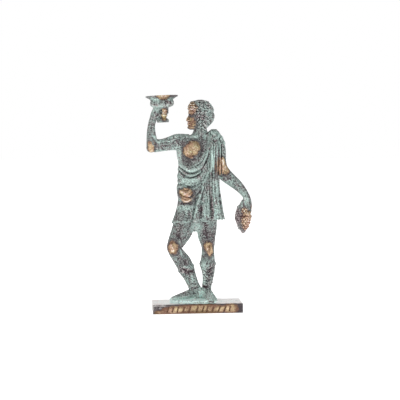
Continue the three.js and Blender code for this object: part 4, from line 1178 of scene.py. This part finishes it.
garment = draped(tunic, tunicRelief, tunicHem, tunicNeck)
carve(garment, [
    ([(-14.4, 108.4), (-12.4, 106), (-7.4, 102.7), (-2.5, 102.6), (3, 105.7), (6.6, 112.1), (8.8, 118.4)],
     0.62, -1.2),
    ([(-14.4, 105.2), (-12, 102.4), (-6.7, 99.2), (-2.5, 99.6), (2.4, 102.6), (4.4, 105.4)], 0.66, -1.1),
    ([(-14, 106.8), (-10, 102.8), (-6.4, 100.9), (-2.2, 101.1), (2.6, 104)], 0.5, 0.6),
    ([(-13.8, 110.2), (-8, 105.4), (-3, 105), (2.4, 107.6), (5, 112), (7.2, 118.6)], 1.3, 0.75),
    ([(-3, 106.8), (2, 109.6), (4.8, 114), (7, 121)], 0.4, -0.5),
    ([(1, 104.4), (5.8, 108.8), (8.2, 115.6), (9.4, 122)], 0.7, 0.7),
    ([(-13, 98.6), (-7, 96.4), (-2, 97.4), (3, 100.6), (6, 104)], 1.5, 0.35),
    ([(-13.8, 94.9), (-8.6, 92.8), (-4, 92.5), (-0.4, 94), (3.4, 97), (7.2, 101)], 0.5, -0.55),
    ([(-6, 94.8), (-1, 95.4), (3.4, 98.2), (6.4, 101.4)], 0.45, -0.35),
    ([(-14.4, 90.6), (-10.4, 88.6), (-7.3, 86.9)], 0.6, 0.7),
    ([(-4.8, 90.8), (-7.6, 88), (-11.6, 86.2)], 0.55, 0.5),
    ([(-13, 84.4), (-8.3, 82), (-5.2, 83.4), (-2, 86.2)], 0.6, 0.7),
    ([(-13.6, 87.8), (-10, 85.4), (-6, 84.9), (-2.8, 88)], 0.5, -0.6),
    ([(-12.4, 92.2), (-9.2, 90.2), (-6.4, 90.4)], 0.45, -0.45),
    ([(-1.4, 91.2), (-4, 87.2), (-7.4, 83.6)], 0.4, -0.4), ([(0.6, 91.2), (-1.4, 88.4)], 0.4, 0.4),
    ([(8.6, 104), (5.6, 95), (3.4, 90.6), (-0.9, 77.4), (-2.4, 69)], 0.6, 0.55),
    ([(7.6, 106), (4.2, 97), (1.6, 91), (-2.4, 78), (-4.4, 69)], 0.5, -0.6),
    ([(6.6, 106), (3.2, 97), (0.2, 91)], 0.45, 0.5),
    ([(8.2, 103), (6.4, 96), (4.6, 90), (1.6, 79)], 0.45, -0.6),
    ([(-12, 78.6), (-9.8, 73), (-9.6, 68.4)], 0.9, -0.3), ([(-15.2, 77), (-15.8, 68.4)], 0.8, -0.35),
    ([(-7.6, 78), (-6.4, 73.6), (-6.4, 68.6)], 0.7, -0.25),
    ([(-18, 69.8), (-12, 70.4), (-5, 69.4)], 0.5, -0.25),
])
finished("tunic", garment, clothFinish, tunic)


# The cloak.
cloak = {
    "grid": (265, 170),
    "hem": 68.2,
    "hearts": (73.2, 129),
    "sections": [
        (66, 11.9, 0, 8.8, 9.3), (72, 11.4, 0, 8, 9.1), (82, 10.9, 0, 6.8, 8.8), (96, 10.5, 0, 5.6, 8.6),
        (110, 11.8, 0.1, 6.4, 8.8), (121, 12.4, 0.2, 6.4, 7.8), (129, 12.2, 0.6, 5, 5.4),
    ],
    "folds": [
        (-170, -170, 0.8), (-156, -156, -0.8), (-140, -140, 0.9), (-126, -126, -0.7), (-110, -110, 0.8),
        (-94, -94, -0.7), (-66, -84, 0.2), (-46, -56, 1.1), (-30, -44, 0.5), (-12, -30, -0.95), (4, -16, 0.8),
        (13, -8, -0.7), (24, 2, 0.3), (32, 10, 0.1), (40, 24, 0.9), (58, 44, -0.7), (74, 66, 0.7),
        (88, 86, -0.6), (104, 104, 0.9), (120, 120, -0.8), (136, 136, 0.9), (150, 150, -0.7), (164, 164, 0.8),
        (178, 178, -0.8),
    ],
    "polish": [
        (9.5, 9.5, 114, 4, 4, 6, 0.9), (12.9, -9, 105.8, 1, 5, 6.4, 0.62), (14.6, -8.6, 107, 0.7, 5, 8, 0.78),
        (16.2, -8, 106.6, 0.8, 5, 8, 0.9),
    ],
    "bloomAndPaintedLight": [
        (16, -6, 76, 3.4, 8, 9, 0.35), (6.4, -9, 77, 2, 4, 9, 0.6), (12.6, -9, 82, 1, 4, 16, 0.8),
        (10.6, -8, 76, 1.2, 4, 10, -0.9), (8.4, -6, 96, 2, 6, 5, -0.5),
    ],
    "grit": [(12, 0, 78, 40, 20, 14, 0.3)],
    "crestRounds": 11,
}


def cloakRelief(angle, z):
    turn = np.degrees(angle)
    return folds(turn, z, cloak["folds"], cloak["hem"], 108) * (1 - 0.35 * smooth(z, 90, 120))


def cloakHem(angle):
    return cloak["hem"] + 0.4 * np.sin(4 * angle + 1) + 0.3 * np.sin(13 * angle)


mantle = draped(cloak, cloakRelief, cloakHem)
carve(mantle, [
    ([(7.2, 104), (6.6, 92), (6.4, 80), (6.2, 69.6)], 0.35, -0.45),
    ([(8.2, 98), (8, 86), (8.2, 76)], 0.35, 0.35), ([(9.6, 100), (9.4, 90), (9.2, 80)], 0.35, -0.5),
    ([(15.4, 98), (16.2, 84), (17.6, 70.6)], 0.5, -0.5), ([(13.4, 98), (14.2, 84), (15.2, 72)], 0.4, 0.3),
    ([(12.4, 92), (12.8, 80)], 0.3, -0.3),
])
finished("cloak", mantle, clothFinish, cloak)


# The bunched cloth on the left shoulder.
sleeve = {
    "grid": (250, 130),
    "hem": 101,
    "hearts": (104, 134.2),
    "sections": [
        (99.5, 14.7, -0.4, 5.4, 6.6), (106, 14.5, -0.4, 6.1, 7.4), (113, 14.4, -0.2, 6.3, 7.9),
        (120, 14.2, 0, 6.3, 7.6), (126, 13.5, 0.3, 6, 6.8), (130, 12.9, 0.5, 4.6, 5.5),
        (132.6, 12.5, 0.6, 3, 3.8), (134.2, 12.6, 0.7, 1.2, 1.6),
    ],
    "folds": [
        (-168, -170, 0.7), (-150, -152, -0.7), (-132, -134, 0.8), (-112, -116, -0.7), (-92, -98, 0.7),
        (-72, -82, -0.6), (-54, -66, 0.9), (-40, -48, -0.9), (-28, -36, 0.8), (-20, -22, -1), (-8, -8, 0.9),
        (4, 6, -0.9), (14, 18, 0.7), (24, 30, -0.9), (38, 44, 0.9), (54, 58, -0.7), (72, 74, 0.7),
        (90, 92, -0.6), (108, 110, 0.8), (126, 128, -0.7), (144, 146, 0.8), (160, 162, -0.7), (176, 176, 0.7),
    ],
    "polish": [
        (12.6, -7, 106.4, 0.9, 5, 7, 0.9), (14.4, -7, 106.8, 0.8, 5, 8, 1), (16.2, -6, 107, 0.9, 5, 8, 1),
        (18.8, -5, 107.4, 2, 6, 6, 1), (17.8, -6, 111.6, 1.2, 5, 3, 1),
    ],
    "bloomAndPaintedLight": [
        # the place at (16.4, -6, 99.6) is painted light in the shade along the sleeve's hem
        (9.6, -7, 113, 1.6, 4, 7, 1.3), (13, -6, 130, 6, 6, 4, 1.2), (16.4, -6, 99.6, 2.4, 5, 1.6, 2.2),
        (19, -3, 120, 3, 6, 8, -0.3),
    ],
    "crestRounds": 10,
}


def sleeveRelief(angle, z):
    turn = np.degrees(angle)
    hanging = folds(turn + 2 * np.sin(z * 0.35), z, sleeve["folds"], sleeve["hem"], 128)
    bunch = 0.5 * np.sin(0.16 * turn + 1.1 * z) * np.sin(0.05 * turn - 0.5 * z) * smooth(z, 119, 126)
    return hanging * (1 - 0.45 * smooth(z, 116, 133)) + bunch


def sleeveHem(angle):
    return sleeve["hem"] + 0.9 * smooth(np.sin(angle), 0.2, 1) + 0.45 * np.sin(9 * angle + 1)


drape = draped(sleeve, sleeveRelief, sleeveHem, ends=clothEnds[:6] + solidEnds[2:])
carve(drape, [
    ([(9.4, 129), (11.4, 124.4), (12.2, 118), (11.8, 108)], 0.4, -0.7),
    ([(16.4, 131), (15.4, 125.6), (15.6, 118), (15.2, 106)], 0.4, -0.7),
    ([(12.6, 132.4), (13.6, 127), (13.4, 120)], 0.4, 0.5),
    ([(18.6, 127.6), (17.4, 122), (17.2, 112)], 0.45, -0.6),
    ([(9, 126), (13, 123.6), (17.4, 124.8)], 0.5, -0.5), ([(8.4, 123), (12.4, 121.4), (16, 122.2)], 0.5, 0.4),
    ([(9.6, 131.8), (11.8, 127.4)], 0.45, -0.6), ([(12, 133.6), (12.9, 128)], 0.4, -0.6),
    ([(15.2, 133), (14.2, 127.8)], 0.4, -0.6), ([(17.8, 129.8), (15, 126.6)], 0.45, -0.5),
    ([(10.8, 133), (12.3, 128.2)], 0.4, 0.4), ([(16.6, 131.6), (14.8, 127.4)], 0.45, 0.4),
])
finished("sleeve", drape, clothFinish, sleeve)
print("cloth done")


# The head, worked out upright with its chin at 0 and turned when it is done.
head = {
    "voxel": 0.18,
    "softening": 2,
    "chin": (1.5, 0.3, 133.8),
    "turn": -80,  # degrees
    "curl": 2.1,  # distance between curls
    "sections": [
        (0, 0, -4.4, 2.2, 2.2), (0.8, 0, -3.8, 3.9, 3.9), (2.6, 0, -2.3, 5.1, 5.4), (5, 0, -0.8, 6, 6.9),
        (7.5, 0, 0.3, 6.7, 7.8), (10.4, 0, 0.9, 7.1, 8.2), (12.8, 0, 0.9, 7.2, 8.6), (15.8, 0, 1, 7, 8.3),
        (18.6, 0, 0.8, 6, 6.6), (20.8, 0, 0.8, 4, 4.4), (21.8, 0, 1.3, 1.4, 1.6),
    ],
    "hairline": [(0, 15), (0.7, 14.2), (1.05, 9), (1.25, 4), (1.9, 1.2), (math.pi, 1)],
    # each is a soft push on both sides of the face: x, height, radius x, radius z, push
    "features": [
        (1.2, 12.0, 1.0, 0.7, 0.3), (3.2, 12.0, 1.5, 0.65, 0.45),
        (2.6, 10.6, 1.6, 1.15, -1.15), (2.65, 10.5, 1.15, 0.8, 0.95),
        (4.0, 8.4, 1.6, 1.4, 0.45), (3.9, 5.2, 1.4, 1.6, -0.35),
        (0, 4.5, 2.6, 1.9, 0.7), (0.75, 4.95, 0.95, 0.36, 0.42), (0, 3.85, 1.35, 0.42, 0.5),
        (2.1, 4.4, 0.4, 0.4, -0.3), (0, 3.05, 1.2, 0.35, -0.35), (0, 1.5, 1.5, 1.15, 0.8),
        (1.15, 6.75, 0.5, 0.55, 0.8), (0.6, 6.1, 0.35, 0.3, -0.35), (0, 5.5, 0.3, 0.5, -0.14),
    ],
    "backHair": [
        (0, 2.6, 1.8, 2.4, 2.0), (0, 5.2, 4.2, 3.2, 2.4), (0, 8.2, 7.4, 3.7, 2.5), (0, 9.1, 10.4, 3.8, 2.4),
        (0, 8.4, 12.8, 2, 1.6),
    ],
    "sideLock": [(5.6, 3.4, 9, 2.2), (6, 3.4, 5, 2.3), (5.0, 2.6, 1.4, 1.9), (4.4, 2.6, -1.4, 1)],
    "polish": [
        (-5, -5, 149.2, 4.6, 6, 5.4, 1.02), (-4.6, -3, 138.6, 4.6, 7, 5.4, 0.78), (-8, 0, 142, 3, 4, 5, 0.8),
    ],
    "bloomAndPaintedLight": [(9, -2, 146, 4, 8, 8, 0.4), (5, -6, 140, 3, 4, 6, 0.4)],
    "grain": 0.015,
    "crestRounds": 8,
    "crestScale": 0.14,
}


def faceRelief(angle, h):
    x = 6.6 * np.sin(angle)
    front = smooth(np.cos(angle), 0.05, 0.35)
    push = bell(x, 0.75) * eased([(5.6, 0), (6.3, 1.75), (7.1, 2.05), (11.3, 0.5), (13, 0)], h)
    for place, height, wide, high, amount in head["features"]:
        for side in ((-1, 1) if place else (1,)):
            push = push + amount * bell((x - side * place) / wide, 1) * bell((h - height) / high, 1)
    side = np.abs(x) - 2.65
    lid = 10.95 - 0.16 * side**2
    push = push + bell(side, 1.25) * (0.22 * bell(h - lid, 0.16) - 0.2 * bell(h - lid - 0.42, 0.18))
    push = push + bell(side, 1.2) * 0.16 * bell(h - 9.95 - 0.1 * side**2, 0.16)
    push = push - 0.45 * bell(h - 4.42 + 0.05 * x**2, 0.15) * bell(x, 1.9)
    return push * front


def curlCentres():
    places = []
    dice = random.Random(11)
    for h in np.arange(1.6, 21.8, head["curl"]):
        _, y, wide, deep = through(head["sections"], np.array([h]))[0]
        count = max(1, round(math.pi * (wide + deep) / (1.2 * head["curl"])))
        offset = dice.random()
        for n in range(count):
            angle = ((n + offset) / count * 2 - 1) * math.pi
            edge = eased(head["hairline"], np.array([abs(angle)]))[0]
            if h > edge - 0.4:
                lift = h + dice.uniform(-0.35, 0.35)
                swing = angle + dice.uniform(-0.05, 0.05)
                places.append((math.sin(swing) * (wide + 1), y - math.cos(swing) * (deep + 1), lift))
    return places


def headRelief(angle, h):
    x, y, wide, deep = through(head["sections"], h).T
    inHair = smooth(h - eased(head["hairline"], np.abs(angle)), -0.25, 0.5)
    places = curlCentres()
    tree = kdtree.KDTree(len(places))
    for n, place in enumerate(places):
        tree.insert(place, n)
    tree.balance()
    dice = random.Random(5)
    hands = [dice.choice((-1, 1)) for _ in places]
    starts = [dice.uniform(0, 6.3) for _ in places]
    curls = np.zeros(len(h))
    points = np.column_stack([x + np.sin(angle) * (wide + 1), y - np.cos(angle) * (deep + 1), h])
    for n, point in enumerate(points):
        place, index, gap = tree.find(point)
        east = (point[0] - place[0]) * math.cos(angle[n]) + (point[1] - place[1]) * math.sin(angle[n])
        spin = hands[index] * math.atan2(point[2] - place[2], east) + starts[index]
        dome = max(0.0, 1 - (gap / 1.7) ** 2)
        curls[n] = 1.4 * dome**0.6 + 0.28 * math.cos(spin + 4.2 * gap) * min(1, gap * 2)
    band = 14 + 2.2 * np.cos(angle)
    flat = bell(h - band, 0.75) ** 2
    ribbon = 0.95 * smooth(0.62 - np.abs(h - band), 0, 0.15)
    hair = inHair * (0.1 + curls * (1 - flat)) + np.maximum(ribbon - 0.2 * inHair, 0) * (1 - 0.3 * inHair)
    return hair + (1 - inHair) * faceRelief(angle, h)


def strands(angle, t):
    return 0.28 * np.sin(9 * angle + 5 * t) + 0.1 * np.sin(21 * angle)


def ringlets(angle, t):
    return 0.42 * np.sin(24 * t + 2 * angle) + 0.15 * np.sin(5 * angle + 30 * t)


headShape = castInOne(
    [
        upright(head["sections"], 300, 220, headRelief, crowd=0.35),
        tube(head["backHair"], 90, 90, relief=strands),
        *(tube([(side * x, *others) for x, *others in head["sideLock"]], 60, 120, relief=ringlets)
          for side in (-1, 1)),
    ],
    head,
)
points, _ = readPoints(headShape)
swing = math.radians(head["turn"])
x, y, z = points.T
writePoints(headShape, np.column_stack([
    x * math.cos(swing) - y * math.sin(swing), x * math.sin(swing) + y * math.cos(swing), z,
]) + head["chin"])
finished("head", headShape, hairFinish, head)


# The wine cup.
cup = {
    "foot": 139,  # height of its underside
    "axis": (-25, -5),
    "lean": 2.8,  # degrees
    "steps": 200,
    "gadroons": 12,
    "beads": 30,
    "flutes": 10,
    # radius, height
    "outline": [
        (0.02, 0), (3.7, 0), (4.2, 0.3), (4.35, 1.1), (4.1, 2), (3.1, 2.7), (2.6, 3.1), (2.8, 3.8),
        (3.3, 4.6), (3.5, 5.3), (2.9, 6.2), (2.6, 7.2), (2.6, 8.6), (2.9, 9.7), (3.6, 10.2), (5.4, 10.7),
        (7.2, 11.4), (8.1, 12.4), (8.2, 13.6), (8.2, 14.9), (8, 15.8), (8.2, 16.3), (9.4, 17.2), (10.8, 17.9),
        (11.7, 18.4), (11.74, 18.9), (11.5, 19.1), (10.6, 18.9), (9.2, 18.1), (7.8, 17.2), (7, 16.2),
        (6.7, 14.8), (6, 13.3), (4.2, 12.6), (0.02, 12.4),
    ],
    "polish": [(-25.4, -15, 157.6, 4.4, 9, 2.7, 1.15), (-24.3, -8, 143.8, 2.2, 4, 3.5, 1.0)],
    "bloomAndPaintedLight": [
        (-33, -8, 155, 4, 8, 1.6, 0.5), (-25, -10, 150.6, 8, 6, 1, 0.1), (-25, -5, 158.2, 14, 14, 1, -1.4),
        (-29, -9, 154.6, 3, 6, 1.8, 2), (-19.6, -8, 155.6, 2.4, 6, 1.6, 0.9), (-25, -5, 140, 8, 8, 1.6, -0.9),
        (-25, -5, 153, 14, 14, 2.4, -0.8),
    ],
    "crestRounds": 16,
    "crestScale": 0.2,
}


def wineCup():
    rows = np.column_stack([np.linspace(0, 1, len(cup["outline"])), cup["outline"]])
    outline = through(rows, np.linspace(0, 1, 130))
    outline[[0, -1], 0] = 0
    shape = bmesh.new()
    chain = [shape.verts.new((radius, 0, height)) for radius, height in outline]
    edges = [shape.edges.new(pair) for pair in zip(chain, chain[1:])]
    bmesh.ops.spin(shape, geom=chain + edges, cent=(0, 0, 0), axis=(0, 0, 1), dvec=(0, 0, 0),
                   angle=2 * math.pi, steps=cup["steps"], use_merge=True)
    bmesh.ops.remove_doubles(shape, verts=shape.verts, dist=0.001)
    bmesh.ops.recalc_face_normals(shape, faces=shape.faces)
    return joined([shape])


vessel = wineCup()
points, _ = readPoints(vessel)
x, y, z = points.T
radius, angle = np.hypot(x, y), np.arctan2(y, x)
outside = smooth(radius, 6.3, 6.9) * (z < 16.2)
lobes = np.abs(np.cos(cup["gadroons"] * angle / 2)) ** 0.7
grow = (lobes - 0.6) * bell(z - 13.7, 1.8) * outside
beads = 0.28 * np.cos(cup["beads"] * angle) * bell(z - 16.2, 0.45) * outside
nicks = 0.12 * np.sin(7 * angle + 2) * bell(z - 18.7, 0.5) + 0.08 * np.sin(40 * angle) * bell(z - 18.9, 0.2)
flutes = 0.14 * np.cos(cup["flutes"] * angle) * (bell(z - 8, 1.6) + bell(z - 2.6, 0.7)) * (radius < 4)
growth = 1 + (grow + beads + flutes - np.abs(nicks)) / np.maximum(radius, 1)
x, y = x * growth, y * growth
lean = math.radians(cup["lean"])
writePoints(vessel, np.column_stack([
    x * math.cos(lean) - z * math.sin(lean) + cup["axis"][0], y + cup["axis"][1],
    x * math.sin(lean) + z * math.cos(lean) + cup["foot"],
]))
finished("wineCup", vessel, clothFinish, cup)


# The bunch of grapes.
grapes = {
    "voxel": 0.187,
    "softening": 2,
    "top": (33.6, -4.6, 79.5),
    "bottom": (33.7, -4.6, 58.4),
    "radius": 1.02,
    "rows": 14,
    "spread": [(0, 3.9), (0.4, 5.4), (0.75, 3.9), (1, 0.4)],  # share of the way down, distance from the axis
    "polish": [
        (36.4, -8.6, 67.6, 5.4, 6, 8.4, 0.86), (34.2, -9, 74.6, 3.4, 3.4, 3.4, 0.68),
        (35, 1, 69, 4, 3.4, 7, 0.75),
    ],
    "bloomAndPaintedLight": [(29.4, -6, 71, 2.6, 6, 6, -0.6)],
    "grain": 0.03,
    "crestRounds": 10,
    "crestScale": 0.2,
}


def grapeBunch():
    x, y, top = grapes["top"]
    heart = [(x, y, top + 3, 1), (x, y, top - 2, 3.4), (x, y, top - 9, 4.4, 4), (x, y, top - 15.5, 3.3)]
    shapes = [tube([*heart, (*grapes["bottom"], 1.6)], 30, 40)]
    dice = random.Random(3)
    for row in range(grapes["rows"]):
        share = row / (grapes["rows"] - 1)
        z = top - 2.2 - share * (top - grapes["bottom"][2] - 2.6)
        spread = eased(grapes["spread"], np.array([share]))[0]
        count = max(1, math.floor(2 * math.pi * spread / (grapes["radius"] * 1.8)))
        for n in range(count):
            angle = (n + 0.5 * (row % 2) + dice.uniform(-0.16, 0.16)) / count * 2 * math.pi
            out = spread + dice.uniform(-0.35, 0.25)
            size = grapes["radius"] * dice.uniform(0.9, 1.06)
            sideways, forwards = out * math.sin(angle), 0.9 * out * math.cos(angle)
            place = (x + sideways, y - forwards, z + dice.uniform(-0.35, 0.35))
            shapes.append(ball(place, (size, size, size * 1.06)))
    return shapes


finished("grapes", castInOne(grapeBunch(), grapes), fruitFinish, grapes)
print("cup, head and grapes done")
